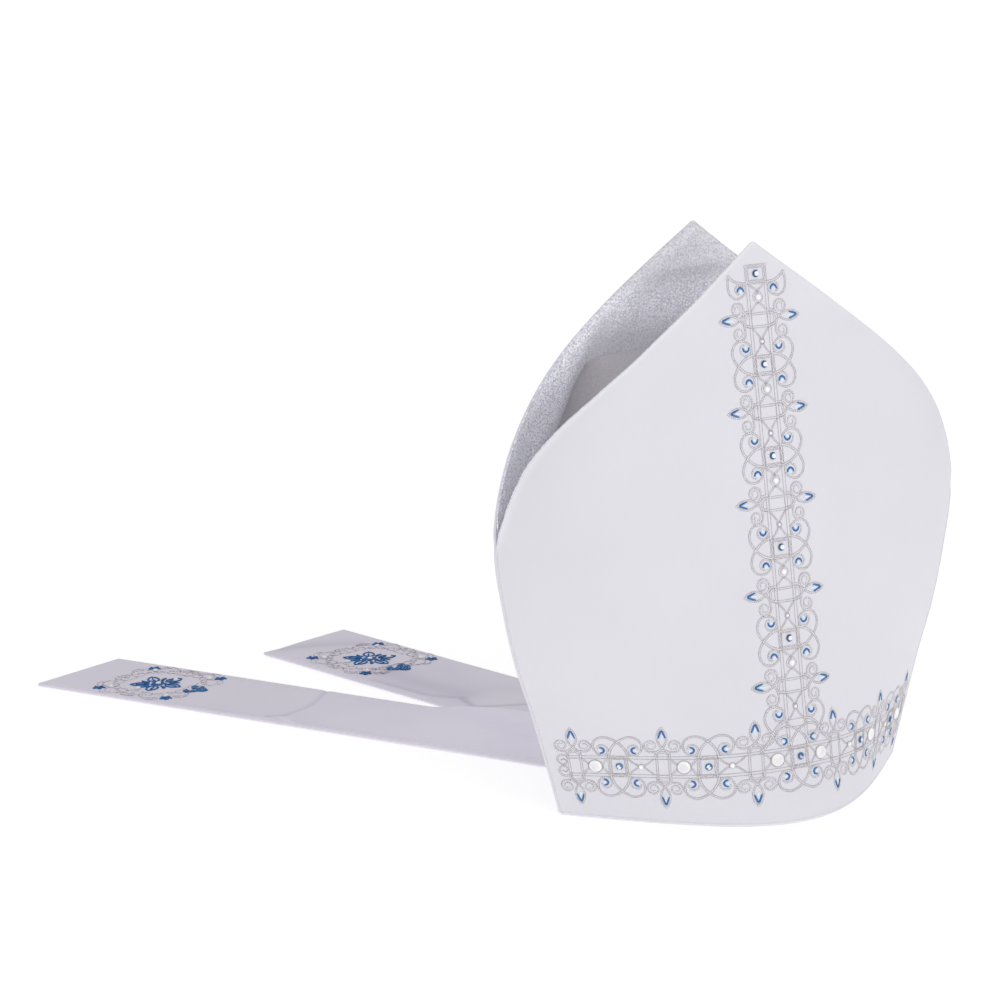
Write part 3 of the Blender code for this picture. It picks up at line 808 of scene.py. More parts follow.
def flowing(points, steps=STROKE_STEPS):
    """A smooth line through points."""
    points = np.asarray(points, float)
    padded = np.concatenate([[2 * points[0] - points[1]], points, [2 * points[-1] - points[-2]]])
    t = np.linspace(0, 1, steps, endpoint=False)[:, None]
    line = []
    for a, b, c, d in zip(padded, padded[1:], padded[2:], padded[3:]):
        bent = (2 * a - 5 * b + 4 * c - d) * t ** 2 + (3 * b - a - 3 * c + d) * t ** 3
        line.append(0.5 * (2 * b + (c - a) * t + bent))
    return np.concatenate(line + [points[-1:]])


def straight(points, spacing=1.0):
    points = np.asarray(points, float)
    line = []
    for a, b in zip(points, points[1:]):
        count = max(2, int(np.linalg.norm(b - a) / spacing))
        line.append(a + (b - a) * np.linspace(0, 1, count, endpoint=False)[:, None])
    return np.concatenate(line + [points[-1:]])


def beside(line):
    """The direction across a line, of length 1, at each of its points."""
    ahead = np.gradient(line, axis=0)
    ahead /= np.maximum(np.linalg.norm(ahead, axis=1), 1e-9)[:, None]
    return np.stack([-ahead[:, 1], ahead[:, 0]], 1)


def doubled(line, gap, end_gap=None):
    """The two lines of thread either side of a line, whose gap may run to another at its end."""
    gaps = np.linspace(gap, gap if end_gap is None else end_gap, len(line))[:, None]
    return [line + beside(line) * gaps, line - beside(line) * gaps]


def mirrored(line, flips=ALL_FOUR):
    return [line * flip for flip in flips]


def worked(line, gaps, flips=BOTH):
    """A line worked double, with its mirror images."""
    return [image for side in doubled(line, *gaps) for image in mirrored(side, flips)]


def ring(centre, radius):
    turn = np.linspace(0, 2 * pi, RING_STEPS)[:, None]
    return np.array(centre) + radius * np.concatenate([np.cos(turn), np.sin(turn)], 1)


def spiral(centre, start_turn, radius, end_radius, turns):
    turn = np.linspace(0, 1, SPIRAL_STEPS)[:, None]
    angle = start_turn + 2 * pi * turns * turn
    size = radius + (end_radius - radius) * turn
    return np.array(centre) + size * np.concatenate([np.cos(angle), np.sin(angle)], 1)


def rectangle(out, low, high):
    return straight([(-out, low), (out, low), (out, high), (-out, high), (-out, low)])


def zigzag(line, wave, half):
    """A zigzag that follows a line round the block's border."""
    runs = np.concatenate([[0], np.cumsum(np.linalg.norm(np.diff(line, axis=0), axis=1))])
    places = np.arange(0, runs[-1], wave / 2)
    middle = np.stack([np.interp(places, runs, line[:, k]) for k in (0, 1)], 1)
    return middle + beside(middle) * half * np.where(np.arange(len(middle)) % 2, 1, -1)[:, None]


def block(drop=0.0):
    edges = [np.array(size) - (0.0, 0.0, drop) for size in (BLOCK_OUTER, BLOCK_INNER)]
    between = rectangle(*(edges[0] + edges[1]) / 2)
    return [rectangle(*edges[0]), rectangle(*edges[1]), zigzag(between, ZIGZAG_WAVE, ZIGZAG_HALF)]


def scrolls(flips=ALL_FOUR):
    return worked(flowing(SCROLL), SCROLL_GAPS, flips)


def coil():
    """A small spiral with the tail that joins it to the bar's corner."""
    turns = spiral(SPIRAL_CENTRE, radians(SPIRAL_FROM), SPIRAL_START, SPIRAL_END, -SPIRAL_TURNS)
    return np.concatenate([flowing(SPIRAL_TAIL + (tuple(turns[0]),))[:-1], turns])


def bar(drop=0.0):
    lines = [rectangle(BAR_OUT, -BAR_HALF + BAR_GAP, BAR_HALF - BAR_GAP)]
    lines += [straight([(-RAIL_OUT, h), (RAIL_OUT, h)]) for h in (-BAR_HALF - BAR_GAP, BAR_HALF + BAR_GAP)]
    lines += worked(flowing(HOOK), (BAR_GAP,)) + worked(coil(), COIL_GAPS, ALL_FOUR)
    return [line - (0.0, drop) for line in lines] + worked(flowing(LEAF), LEAF_GAPS, ALL_FOUR)


def small_link():
    """From a block's top to the next bar: a narrow waist round a small ring."""
    return worked(flowing(WAIST), WAIST_GAPS) + [ring(*SMALL_RING)]


def large_link(radius):
    """From a block's foot to the bar before it, round the ring of a pearl."""
    threads = worked(flowing(NECK), LINK_GAPS) + worked(flowing(FOOT), LINK_GAPS)
    return threads + [ring((0.0, PEARL_PLACE), radius)]


def moved(lines, along, flip=1):
    return [line * (1, flip) + (0.0, along) for line in lines]


def rails(low, high):
    return [straight([(side * (RAIL_OUT + gap), low), (side * (RAIL_OUT + gap), high)], 2.0)
            for side in (-1, 1) for gap in (-RAIL_GAP, RAIL_GAP)]


def on_upright(line, lift):
    """Where (out, along) points of the upright band lie on the front panel."""
    height = (UPRIGHT_FOOT + (FIRST_BLOCK + line[:, 1]) * cos(LEAN[FRONT])) * MM
    climbed = np.clip(line[:, 1] / (REPEAT * (UPRIGHT_BLOCKS - 1)), 0, 1)
    x = across_at(FRONT, height, (line[:, 0] + UPRIGHT_ASIDE - UPRIGHT_BEND * climbed ** 2) * MM)
    return face_point(FRONT, x, height, lift)


band_along_at = smooth_curve(BASE_BAND[:, 0], BASE_BAND[:, 1])
band_height_at = smooth_curve(BASE_BAND[:, 0], BASE_BAND[:, 2])


def on_base(line, lift):
    """Where (out, along) points of the band above the hem lie on the front panel."""
    out = line[:, 0] * np.where(line[:, 0] > 0, *BASE_BAND_NARROWER)
    place = line[:, 1] * (1 + out * BASE_BAND_FAN) / REPEAT
    middle = band_height_at(place) * MM
    start = across_at(FRONT, middle, band_along_at(place) * MM)
    depth = wall_depth(FRONT, middle, start)
    turn = (wall_depth(FRONT, middle, start + SLOPE_STEP) - depth) / SLOPE_STEP
    long = np.sqrt(1 + turn ** 2)
    flare = (wall_depth(FRONT, middle + SLOPE_STEP, start) - depth) / SLOPE_STEP / long
    height = middle + out * MM / np.sqrt(1 + flare ** 2)
    shift = np.zeros_like(start)
    for _ in range(FIT_ROUNDS):
        off = wall_depth(FRONT, height, start - turn / long * shift) - depth - shift / long
        shift = shift + off / long
    return face_point(FRONT, start - turn / long * shift, height, lift)


upright_lines = []
for k in range(UPRIGHT_BLOCKS):
    place = k * REPEAT
    last = k == UPRIGHT_BLOCKS - 1
    upright_lines += moved(block(LAST_BLOCK_DROP if last else 0.0) + large_link(UPRIGHT_RING), place)
    upright_lines += moved(bar(BAR_DROP), place - REPEAT / 2)
    if last:
        upright_lines += moved(worked(flowing(HORN), HORN_GAPS), place)
    else:
        upright_lines += moved(scrolls() + small_link(), place)
foot_place = -REPEAT
foot_lines = small_link() + scrolls(BOTH) + worked(flowing(ARCH), ARCH_GAPS)
foot_lines += [rectangle(RAIL_OUT, *FOOT_BLOCK)]
upright_lines += moved(foot_lines, foot_place)
upright_lines += rails(foot_place - RAILS_PAST_FOOT, (UPRIGHT_BLOCKS - 1) * REPEAT + BLOCK_OUTER[1])

base_lines = []
base_blocks = [k * REPEAT for k in range(-BASE_BLOCKS_EACH_SIDE, BASE_BLOCKS_EACH_SIDE + 1)]
for place in base_blocks:
    base_lines += moved(block() + scrolls(), place)
for k in range(BASE_BLOCKS_EACH_SIDE + 1):
    for side in (-1, 1):
        base_lines += moved(bar(), side * (k + 0.5) * REPEAT)
        base_lines += moved(large_link(HEM_RING), side * k * REPEAT, -side)
        if k:
            base_lines += moved(small_link(), side * k * REPEAT, -side)
band_end = (BASE_BLOCKS_EACH_SIDE + 0.5) * REPEAT
base_lines += rails(-band_end - RAILS_PAST_BAND, band_end + RAILS_PAST_BAND)
for side in (-1, 1):
    curls = worked(flowing(END_CURL), CURL_GAPS, ((-1, side), (1, side)))
    base_lines += moved(curls, side * (band_end + CURL_PAST_BAND))

upright_cords, base_cords = [], []
for k in range(UPRIGHT_BLOCKS):
    block_cords = mirrored(flowing(SCROLL)) if k < UPRIGHT_BLOCKS - 1 else mirrored(flowing(HORN), BOTH)
    upright_cords += moved(block_cords, k * REPEAT)
    upright_cords += moved(mirrored(coil()), (k - 0.5) * REPEAT - BAR_DROP)
    upright_cords += moved(mirrored(flowing(LEAF)), (k - 0.5) * REPEAT)
upright_cords += moved(mirrored(flowing(SCROLL), BOTH) + mirrored(flowing(ARCH), BOTH), foot_place)
for place in base_blocks:
    base_cords += moved(mirrored(flowing(SCROLL)), place)
for k in range(-BASE_BLOCKS_EACH_SIDE - 1, BASE_BLOCKS_EACH_SIDE + 1):
    base_cords += moved(mirrored(coil()) + mirrored(flowing(LEAF)), (k + 0.5) * REPEAT)

silver_thread = thread_material("silver_thread", (0.56, 0.53, 0.55), (0.38, 0.355, 0.37))
cord_thread = thread_material("cord_thread", (0.92, 0.91, 0.94), (0.82, 0.81, 0.85), 0.35)
for name, lines, place, thread, width in (
        ("upright_embroidery", upright_lines, on_upright, silver_thread, GREY_THREAD),
        ("hem_embroidery", base_lines, on_base, silver_thread, GREY_THREAD),
        ("upright_cords", upright_cords, on_upright, cord_thread, WHITE_CORD),
        ("hem_cords", base_cords, on_base, cord_thread, WHITE_CORD)):
    band = path_mesh(name, [place(line, THREAD_LIFT) for line in lines])
    sizes = {"Stitch": GREY_STITCH * MM, "Width": width / 2 * MM, "Rise": width * THREAD_RISE * MM}
    grown(band, stitches, thread, sizes)
    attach(band, "root")

# ---------------------------------------------------------------------------------------------------
# The blue touches: padded satin stitch in bright blue thread over a paler blue, a cup in each big scroll
# and a chevron in the tip of each leaf.

CUP = ((8.5, 10.0), (8.9, 8.5), (10.4, 7.6), (11.9, 8.4), (12.4, 10.0))
CUP_FILL = ((9.6, 10.6), (10.4, 9.2), (11.3, 10.5))
CHEVRON = ((18.6, 2.0), (20.8, 1.3), (23.2, 0.1), (20.8, -1.1), (18.6, -1.8))
CHEVRON_FILL = ((17.0, 0.1), (19.2, 0.1), (21.4, 0.1))
CUP_HALF, CHEVRON_HALF, FILL_HALF = 0.56, 0.50, 0.9
TOUCHES = ((CUP, CUP_FILL, CUP_HALF), (CHEVRON, CHEVRON_FILL, CHEVRON_HALF))
END_HALF, FILL_END_HALF = 0.35, 0.3
TOUCH_RISE, FILL_RISE = 0.42, 0.22
PATCH_SUNK = -0.0001
SATIN_STITCHES = 900.0
STITCH_ROUGHNESS = 0.38
STITCH_PATCHES = 320.0
# A ridge's cross section, and the powers that round its two ends and its top
RIDGE_CROSS = np.linspace(-1, 1, 5)
END_ROUNDING, TOP_ROUNDING = 0.6, 2.5


def stitched_patch(points, half_width, end_width, rise):
    """A low ridge of satin stitch along a line: the places of its cross strips, and how high each stands."""
    line = flowing(points, 6)
    share = np.linspace(0, 1, len(line))
    widths = end_width + (half_width - end_width) * np.sin(share * pi) ** END_ROUNDING
    flat = line[:, None] + beside(line)[:, None] * (widths[:, None, None] * RIDGE_CROSS[None, :, None])
    heights = rise * (1 - np.abs(RIDGE_CROSS[None]) ** TOP_ROUNDING) * np.ones((len(line), 1))
    return flat, heights


def patches(name, shapes, place, material):
    """One mesh of closed patches that sit on the cloth, each with its stitches across its line."""
    points, faces, cloth = [], [], []
    for flat, heights in shapes:
        rows, columns = heights.shape
        lifts = ((heights.ravel() * MM + THREAD_LIFT)[:, None], PATCH_SUNK)
        grids = [place(flat.reshape(-1, 2), lift)[0].reshape(rows, columns, 3) for lift in lifts]
        made, sides, _ = closed_sheet(*grids)
        faces += (sides + len(points)).tolist()
        points += made.tolist()
        runs = np.cumsum(np.r_[0, np.linalg.norm(np.diff(flat[:, 2], axis=0), axis=1)])
        uv = np.stack([np.repeat(runs, columns), np.tile(np.arange(columns), rows)], 1) * MM
        cloth += uv.tolist() * 2
    return new_piece(name, points, faces, material, cloth)


def satin_stitch(name, light, shade, patchy=0.0, sheen=0.2):
    """Satin stitch: threads side by side across the line, shiny along them, some darker than others."""
    material, tree, shader = plain_material(name, light, STITCH_ROUGHNESS, {"Sheen Weight": sheen})
    wave = {"Vector": cloth_coordinates(tree), "Scale": SATIN_STITCHES, "Distortion": 0.5}
    threads = add_node(tree, "ShaderNodeTexWave", wave).outputs["Fac"]
    cloudy = noise(tree, object_place(tree), STITCH_PATCHES, 1.0)
    uneven = product_and_sum(tree, cloudy, 2 * patchy, -patchy)
    depth = add_node(tree, "ShaderNodeMath", {0: threads, 1: uneven}).outputs[0]
    feed(tree, shader, {"Base Color": ramp(tree, depth, ((0.1, shade), (0.7, light))),
                        "Normal": bump(tree, threads, *THREAD_BUMP)})
    return material


blue_thread = satin_stitch("blue_thread", (0.010, 0.175, 0.480), (0.006, 0.110, 0.360))
pale_blue_thread = satin_stitch("pale_blue_thread", (0.82, 0.88, 0.97), (0.70, 0.79, 0.93))
for name, place, cups, chevrons in (
        ("upright", on_upright,
         [(flip, k * REPEAT) for k in range(UPRIGHT_BLOCKS - 1) for flip in ALL_FOUR]
         + [(flip, (UPRIGHT_BLOCKS - 1) * REPEAT) for flip in ((-1, -1), (1, -1))]
         + [(flip, foot_place) for flip in BOTH],
         [(flip, (k - 0.5) * REPEAT) for k in range(UPRIGHT_BLOCKS) for flip in BOTH]),
        ("hem", on_base,
         [(flip, place) for place in base_blocks for flip in ALL_FOUR],
         [(flip, side * (k + 0.5) * REPEAT) for k in range(BASE_BLOCKS_EACH_SIDE + 1)
          for side in (-1, 1) for flip in BOTH])):
    dark, pale = [], []
    for spots, (line, fill, half) in zip((cups, chevrons), TOUCHES):
        for shapes, patch in ((dark, stitched_patch(line, half, END_HALF, TOUCH_RISE)),
                              (pale, stitched_patch(fill, FILL_HALF, FILL_END_HALF, FILL_RISE))):
            shapes += [(patch[0] * flip + (0.0, along), patch[1]) for flip, along in spots]
    for word, shapes, material in (("blue", dark, blue_thread), ("pale_blue", pale, pale_blue_thread)):
        touches = patches(f"{name}_{word}_stitches", shapes, place, material)
        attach(touches, "root")

# ---------------------------------------------------------------------------------------------------
# The pearls and crystals: glass pearls, ground flat and stitched down inside thread rings, and
# foil-backed blue crystals glued in the middle of each block.

LARGE_PEARL, PEARL, SMALL_HEM_PEARL, SMALL_PEARL = 7.2, 3.9, 3.2, 2.1
CRYSTAL = 4.2
PEARL_BESIDE_BLOCK = 13.6
BEAD_LIFT = 0.0002


def bead_shape(profile, sides, turn=0.0):
    """A closed turned shape from a profile of (radius, height), its ends on the axis."""
    points, faces = [], []
    for radius, height in profile[1:-1]:
        for k in range(sides):
            angle = 2 * pi * k / sides + turn
            points.append((radius * cos(angle), radius * sin(angle), height))
    rings = len(profile) - 2
    points += [(0, 0, profile[0][1]), (0, 0, profile[-1][1])]
    for r in range(rings - 1):
        for k in range(sides):
            a, b = r * sides + k, r * sides + (k + 1) % sides
            faces.append((a, b, b + sides, a + sides))
    for k in range(sides):
        faces.append((rings * sides, (k + 1) % sides, k))
        faces.append((rings * sides + 1, (rings - 1) * sides + k, (rings - 1) * sides + (k + 1) % sides))
    return np.array(points), faces


def pearl_profile(height, rings=12):
    """A half pearl, flat underneath: (radius, height) in radii."""
    turns = np.linspace(0.0, pi / 2, rings)
    return [(0.0, 0.0)] + [(cos(t), height * sin(t)) for t in turns[:-1]] + [(0.0, height)]


CRYSTAL_PROFILE = ((0.0, 0.0), (0.96, 0.0), (1.0, 0.12), (0.62, 0.55), (0.0, 0.56))
# Facets whose middle is above this are the stone's table
TABLE_FACET = 0.5
# A bead's tone runs from 0, its darkest colour, to 1, white, and paints its light and shade. The pearls'
# tones:
# in the middle, and how they change towards the rim and towards the top
PEARL_LIT_MIDDLE, PEARL_SHADE_FALL = 1.3, 1.2
FLAT_MIDDLE, FLAT_RING, FLAT_TOP = 0.42, 0.55, 0.25


def set_beads(name, shape, spots, material, tone, cut=False):
    """One mesh of copies of a bead, each at (place on the band, point, radius), standing on the cloth."""
    corners, sides = shape
    toned_places = [corners[list(side)].mean(0) for side in sides] if cut else corners
    tones = [tone(spot) for spot in toned_places]
    points, faces = [], []
    for place, spot, radius in spots:
        here, outward = place(np.array([spot], float), BEAD_LIFT)
        turn = Vector(outward[0]).to_track_quat("Z", "Y").to_matrix()
        faces += [tuple(len(points) + i for i in side) for side in sides]
        points += [tuple(Vector(here[0]) + turn @ (Vector(corner) * radius)) for corner in corners]
    piece = new_piece(name, points, faces, material)
    if cut:
        piece.data.shade_flat()
    layer = piece.data.attributes.new("tone", "FLOAT", "FACE" if cut else "POINT")
    layer.data.foreach_set("value", tones * len(spots))
    return piece


def in_a_row(place, diameter, places):
    return [(place, (0.0, along), diameter / 2 * MM) for along in places]


def centre_lit(point):
    """A small pearl is painted white in the middle and painted grey towards its rim, as painted shade."""
    return float(np.clip(PEARL_LIT_MIDDLE - PEARL_SHADE_FALL * np.hypot(point[0], point[1]), 0, 1))


def rim_lit(point):
    """A large flat pearl is painted greyer in the middle, with a painted highlight ring that is strongest on
    top.
    """
    radius = np.hypot(point[0], point[1])
    return float(np.clip(FLAT_MIDDLE + FLAT_RING * radius ** 3 + FLAT_TOP * point[1] * radius, 0, 1))


def side_lit(middle):
    """Painted reflection: the table and the right side facets are painted white as flashes, the rest deep
    blue.
    """
    if middle[2] > TABLE_FACET:
        return 0.95
    return 0.80 if middle[0] > 0.35 else 0.03


def ring_lit(middle):
    """The same painted reflection for a stone seen face on: its table painted white in a ring of blue facets.
    """
    if middle[2] > TABLE_FACET:
        return 0.9 if abs(middle[0] - middle[1]) > 0.16 else 0.2
    return 0.35 if middle[1] > 0.5 else 0.08


def deep_lit(middle):
    """A stone painted deep blue as a reflection of the dark side of the room, paler on part of its table."""
    return 0.60 if middle[2] > TABLE_FACET and middle[0] + middle[1] < 0.1 else 0.12


pearl_finish, tree, shader = plain_material("pearl_glass", (0.85, 0.84, 0.85), 0.22, {"Coat Weight": 0.8})
uneven = product_and_sum(tree, noise(tree, object_place(tree), 240.0), 0.20, tone_of_piece(tree))
pearl_tones = ((0.05, (0.65, 0.64, 0.67)), (0.60, (0.84, 0.82, 0.85)), (1.0, WHITE))
feed(tree, shader, {"Base Color": ramp(tree, uneven, pearl_tones)})
crystal_finish, tree, shader = plain_material("blue_crystal", (0.05, 0.20, 0.55), 0.05, {"Coat Weight": 1.0})
crystal_tones = ((0.0, (0.008, 0.060, 0.20)), (0.35, (0.05, 0.22, 0.48)), (0.9, (0.86, 0.93, 1.0)))
feed(tree, shader, {"Base Color": ramp(tree, tone_of_piece(tree), crystal_tones)})

PEARL_RISE, LARGE_PEARL_RISE = 0.70, 0.50
pearl_shape = bead_shape(pearl_profile(PEARL_RISE), 24)
large_pearl_shape = bead_shape(pearl_profile(LARGE_PEARL_RISE), 32)
small_pearl_shape = bead_shape(pearl_profile(PEARL_RISE, 8), 16)
cut_stone = bead_shape(CRYSTAL_PROFILE, 10, radians(18))
block_places = [k * REPEAT for k in range(UPRIGHT_BLOCKS)]
hand_places = [(side, k * REPEAT) for k in range(BASE_BLOCKS_EACH_SIDE + 1) for side in (-1, 1)]
upright_pearls = in_a_row(on_upright, PEARL, [place + PEARL_PLACE for place in block_places])
base_pearls = in_a_row(on_base, LARGE_PEARL,
                       [side * (place + PEARL_BESIDE_BLOCK) for side, place in hand_places])
small_pearls = in_a_row(on_upright, SMALL_PEARL,
                        [place - REPEAT + SMALL_PEARL_PLACE for place in block_places])
small_pearls += in_a_row(on_base, SMALL_HEM_PEARL,
                         [side * (place - SMALL_PEARL_PLACE) for side, place in hand_places[2:]])
upright_spots = in_a_row(on_upright, CRYSTAL, block_places[:-1] + [block_places[-1] - LAST_BLOCK_DROP])
base_spots = in_a_row(on_base, CRYSTAL, [side * place for side, place in hand_places[2:]])
beads = (
    ("pearls", pearl_shape, upright_pearls, pearl_finish, centre_lit),
    ("large_pearls", large_pearl_shape, base_pearls, pearl_finish, rim_lit),
    ("small_pearls", small_pearl_shape, small_pearls, pearl_finish, centre_lit),
    ("upright_crystals", cut_stone, upright_spots, crystal_finish, side_lit, True),
    ("hem_crystals", cut_stone, base_spots, crystal_finish, ring_lit, True),
    ("middle_crystal", cut_stone, in_a_row(on_base, CRYSTAL, [0.0]), crystal_finish, deep_lit, True))
pearls, large_pearls, tiny_pearls, *crystals = [set_beads(*bead) for bead in beads]
for pieces, slot in (((pearls, large_pearls, tiny_pearls), "pearl"), (crystals, "crystal")):
    for piece in pieces:
        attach(piece, "root")
SIDES = ("left", "right")
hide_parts(*[f"pearl_upright_{k + 1}" for k in range(UPRIGHT_BLOCKS)])
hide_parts(*[f"pearl_base_{side}_{k + 1}" for side in SIDES
                            for k in range(BASE_BLOCKS_EACH_SIDE + 1)])
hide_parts(*[f"crystal_upright_{k + 1}" for k in range(UPRIGHT_BLOCKS)])
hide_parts(*[f"crystal_base_{k}" for k in (1, 2, 4, 5)])
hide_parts("crystal_base_3")

# ---------------------------------------------------------------------------------------------------
# The lappets: two strips of interlined satin, sewn in behind under the back hem. They lie on the table,
# the left one over the right one near the hem, each with a soft crease across it.

LAPPET_COLUMNS = ("name", "end_x", "end_y", "angle", "width", "end_skew")
LAPPETS = (
    ("lappet_left", -0.2406, 0.3931, radians(32.9), 0.069, 0.013),
    ("lappet_right", -0.0889, 0.3835, radians(16.6), 0.072, -0.003),
)
# The ramp of painted shade and painted light on the lappets' satin, over each lappet's tone
CREASE_SHADE_AND_LIGHT = ((0.0, (0.655, 0.665, 0.71)), (0.5, (0.88, 0.88, 0.88)), (1.0, (1.0, 1.0, 1.0)))
LAPPET_THICKNESS = 0.0020
LAPPET_TUCK = 0.004
LAPPET_STEPS_ALONG = 300
LAPPET_STEPS_ACROSS = 60
LAPPET_ROLL_STEPS = 3
CREASE_STEPS = 12
RIDGE_HEIGHT = 0.0040
RIDGE_FROM_ROOT = 0.115
RIDGE_HALF_LENGTH = 0.060
CLIMB_START, CLIMB_END = 0.0085, 0.0010
# Creases and soft hollows: the line of each, (along from the end, aside), how deep and how wide to each
# side it is, and how much painted shade darkens or painted light lightens the satin there
CREASES = {
    "lappet_left": (
        (((163, 36), (167, 20), (171, 2), (168, -18), (160, -27)), 0.60, 1.8, -0.32),
        (((160, -27), (142, -30), (96, -31)), 0.40, 1.8, -0.12),
        (((168, -20), (176, -27), (200, -29), (260, -29), (340, -28)), 0.45, 2.0, -0.12),
        (((172, -26), (178, -32)), 0.0, 3.0, 0.35),
        (((100, -33.5), (150, -33), (166, -32)), 0.0, 1.6, 0.25),
        (((182, -33.5), (240, -33), (330, -33)), 0.0, 1.6, 0.25),
        (((60, 30), (130, 29), (235, 29)), 0.25, 1.8, -0.10),
        (((80, 33), (240, 33)), 0.0, 1.6, 0.20),
        (((180, 22), (240, 14), (300, 20), (360, 12)), 0.55, 9.0, 0.0),
        (((290, 0), (330, 0), (400, 0)), 0.0, 80.0, 0.50),
    ),
    "lappet_right": (
        (((98, -29), (125, -28), (147, -27), (161, -20)), 0.60, 2.6, -0.25),
        (((166, -17), (178, -23), (190, -26), (209, -12), (230, 8)), 0.65, 2.4, -0.45),
        (((95, -10), (125, -14), (160, -12)), 0.40, 14.0, -0.32),
        (((4, -22), (14, 0), (30, 20)), 0.50, 7.0, -0.28),
        (((20, -34.5), (90, -34), (150, -33.5)), 0.0, 1.8, 0.35),
        (((110, 20), (150, 8), (200, 26)), 0.50, 11.0, -0.10),
    ),
}


def ease(t):
    t = np.clip(t, 0.0, 1.0)
    return t * t * (3 - 2 * t)


class Strip:
    """One lappet's run over the table. Places on it are (along from its end, aside from its middle)."""

    def __init__(self, row):
        values = dict(zip(LAPPET_COLUMNS, row))
        self.name = values["name"]
        self.width = values["width"]
        self.end_skew = values["end_skew"]
        self.end = np.array((values["end_x"], values["end_y"]))
        self.ahead = np.array((sin(values["angle"]), -cos(values["angle"])))
        self.beside = np.array((cos(values["angle"]), sin(values["angle"])))
        self.root = [self.length_at(hand * self.width / 2) for hand in (-1, 1)]
        self.length = sum(self.root) / 2
        self.under = None

    def length_at(self, aside):
        near, far = 0.0, 0.6
        for _ in range(HALVINGS):
            middle = (near + far) / 2
            x, y = self.end + self.ahead * middle + self.beside * aside
            outside = y > wall_depth(BACK, 0.0, x, LAPPET_TUCK)
            near, far = (middle, far) if outside else (near, middle)
        return near

    def ground(self, along, aside):
        return self.end + along[..., None] * self.ahead + aside[..., None] * self.beside

    def ridge(self, spots):
        away = np.abs(self.length - (spots - self.end) @ self.ahead - RIDGE_FROM_ROOT) / RIDGE_HALF_LENGTH
        return RIDGE_HEIGHT * np.cos(pi / 2 * np.minimum(away, 1.0)) ** 2

    def underside(self, spots):
        if self.under is None:
            return self.ridge(spots)
        inside = (spots - self.under.end) @ self.under.beside + self.under.width / 2
        climb = ease((CLIMB_START + inside) / (CLIMB_START - CLIMB_END))
        return climb * (self.under.ridge(spots) + LAPPET_THICKNESS + SEAM_GAP)

    def creases(self, along, aside):
        """How far the top is pressed in, and how much painted shade or painted light the satin gets there."""
        drop, tone = np.zeros_like(along), np.zeros_like(along)
        spots = np.stack([along, aside], -1) / MM
        for points, depth, half, shift in CREASES[self.name]:
            nearest = np.full(along.shape, 1e9)
            for point in flowing(points, CREASE_STEPS):
                nearest = np.minimum(nearest, ((spots - point) ** 2).sum(-1))
            share = np.exp(-nearest / half ** 2)
            drop += depth * MM * share
            tone += shift * share
        return drop, tone

    def place(self, line, lift):
        """Where (along, aside) points in millimetres lie on the strip's top, and the normals there."""
        along, aside = line[:, 0] * MM, line[:, 1] * MM
        spots = self.ground(along, aside)
        height = self.underside(spots) + LAPPET_THICKNESS
        lift = np.broadcast_to(np.asarray(lift, float).reshape(-1), height.shape)
        points = np.concatenate([spots, (height + lift)[:, None]], 1)
        return points, np.tile((0.0, 0.0, 1.0), (len(line), 1))


left_strip, right_strip = (Strip(row) for row in LAPPETS)
left_strip.under = right_strip
lappet_satin = satin("lappet_satin", (0.871, 0.826, 0.940), (0.827, 0.782, 0.898))
toned(lappet_satin, CREASE_SHADE_AND_LIGHT)
for strip in (left_strip, right_strip):
    half = LAPPET_THICKNESS / 2
    aside = np.linspace(-1, 1, LAPPET_STEPS_ACROSS + 1)[None] * (strip.width / 2 - half)
    share = aside / strip.width + 0.5
    start = strip.end_skew * aside / strip.width + half
    root = strip.root[0] * (1 - share) + strip.root[1] * share - half
    along = start + (root - start) * np.linspace(0, 1, LAPPET_STEPS_ALONG + 1)[:, None]
    aside = np.broadcast_to(aside, along.shape)
    spots = strip.ground(along, aside)
    bottom = strip.underside(spots)
    top = bottom + LAPPET_THICKNESS - strip.creases(along, aside)[0]
    faces = [np.concatenate([spots, h[..., None]], 2) for h in (top, bottom)]
    flat = np.stack([aside, along], 2)
    lappet = rolled_sheet(strip.name + "_satin", *faces, flat, lappet_satin, LAPPET_ROLL_STEPS)
    spots = np.array([v.co[:2] for v in lappet.data.vertices]) - strip.end
    # Paint the creases' shade and light into the lappet's tone
    set_tone(lappet, 0.5 + strip.creases(spots @ strip.ahead, spots @ strip.beside)[1])
    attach(lappet, "root")
    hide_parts(strip.name)
    strip.piece = lappet

# ---------------------------------------------------------------------------------------------------
# The lappets' embroidery: a square frame of grey scrolls with a blue floret and a pearl at each corner,
# round a blue flower with five outlined leaves, and a small blue spray beyond it.

# Middle of each frame: (along, aside)
FRAME_CENTRES = {"lappet_left": (62.5, 0.0), "lappet_right": (63.4, 2.0)}
FRAME_SKEW = 0.14
FRAME_HALF = 25.0
# Half of one side of the frame, from its corner to its middle: (along the side, outwards)
FRAME_SCROLLS = (
    ((20.4, -1.0), (17.6, 3.6), (12.8, 5.2), (7.8, 3.4), (5.4, -0.6), (7.2, -4.2), (11.0, -4.6), (12.9, -1.8),
     (11.2, 0.6), (9.0, -0.6)),
    ((0.5, 5.4), (3.2, 5.8), (5.2, 3.8), (4.2, 1.4), (2.0, 1.6), (2.2, 3.4)),
    ((5.6, -1.6), (3.8, -4.8), (0.0, -4.4)),
    ((20.2, -2.2), (18.2, -6.2), (14.8, -6.8), (13.4, -4.0), (15.4, -2.6), (16.6, -4.2)),
    ((21.4, 3.8), (17.6, 7.4), (13.6, 7.0)),
    ((8.6, 1.2), (7.6, 2.6), (6.0, 2.0)),
)
FRAME_SPRIG = ((0.0, -1.0), (0.0, 2.4), (0.0, 6.8))
FRAME_THREAD = 0.85
FRAME_RISE = 0.35
DULL_THREAD = 0.15
PETAL = ((0.6, 0.0), (2.2, 0.6), (3.7, 0.1))
PETAL_HALF = 1.30
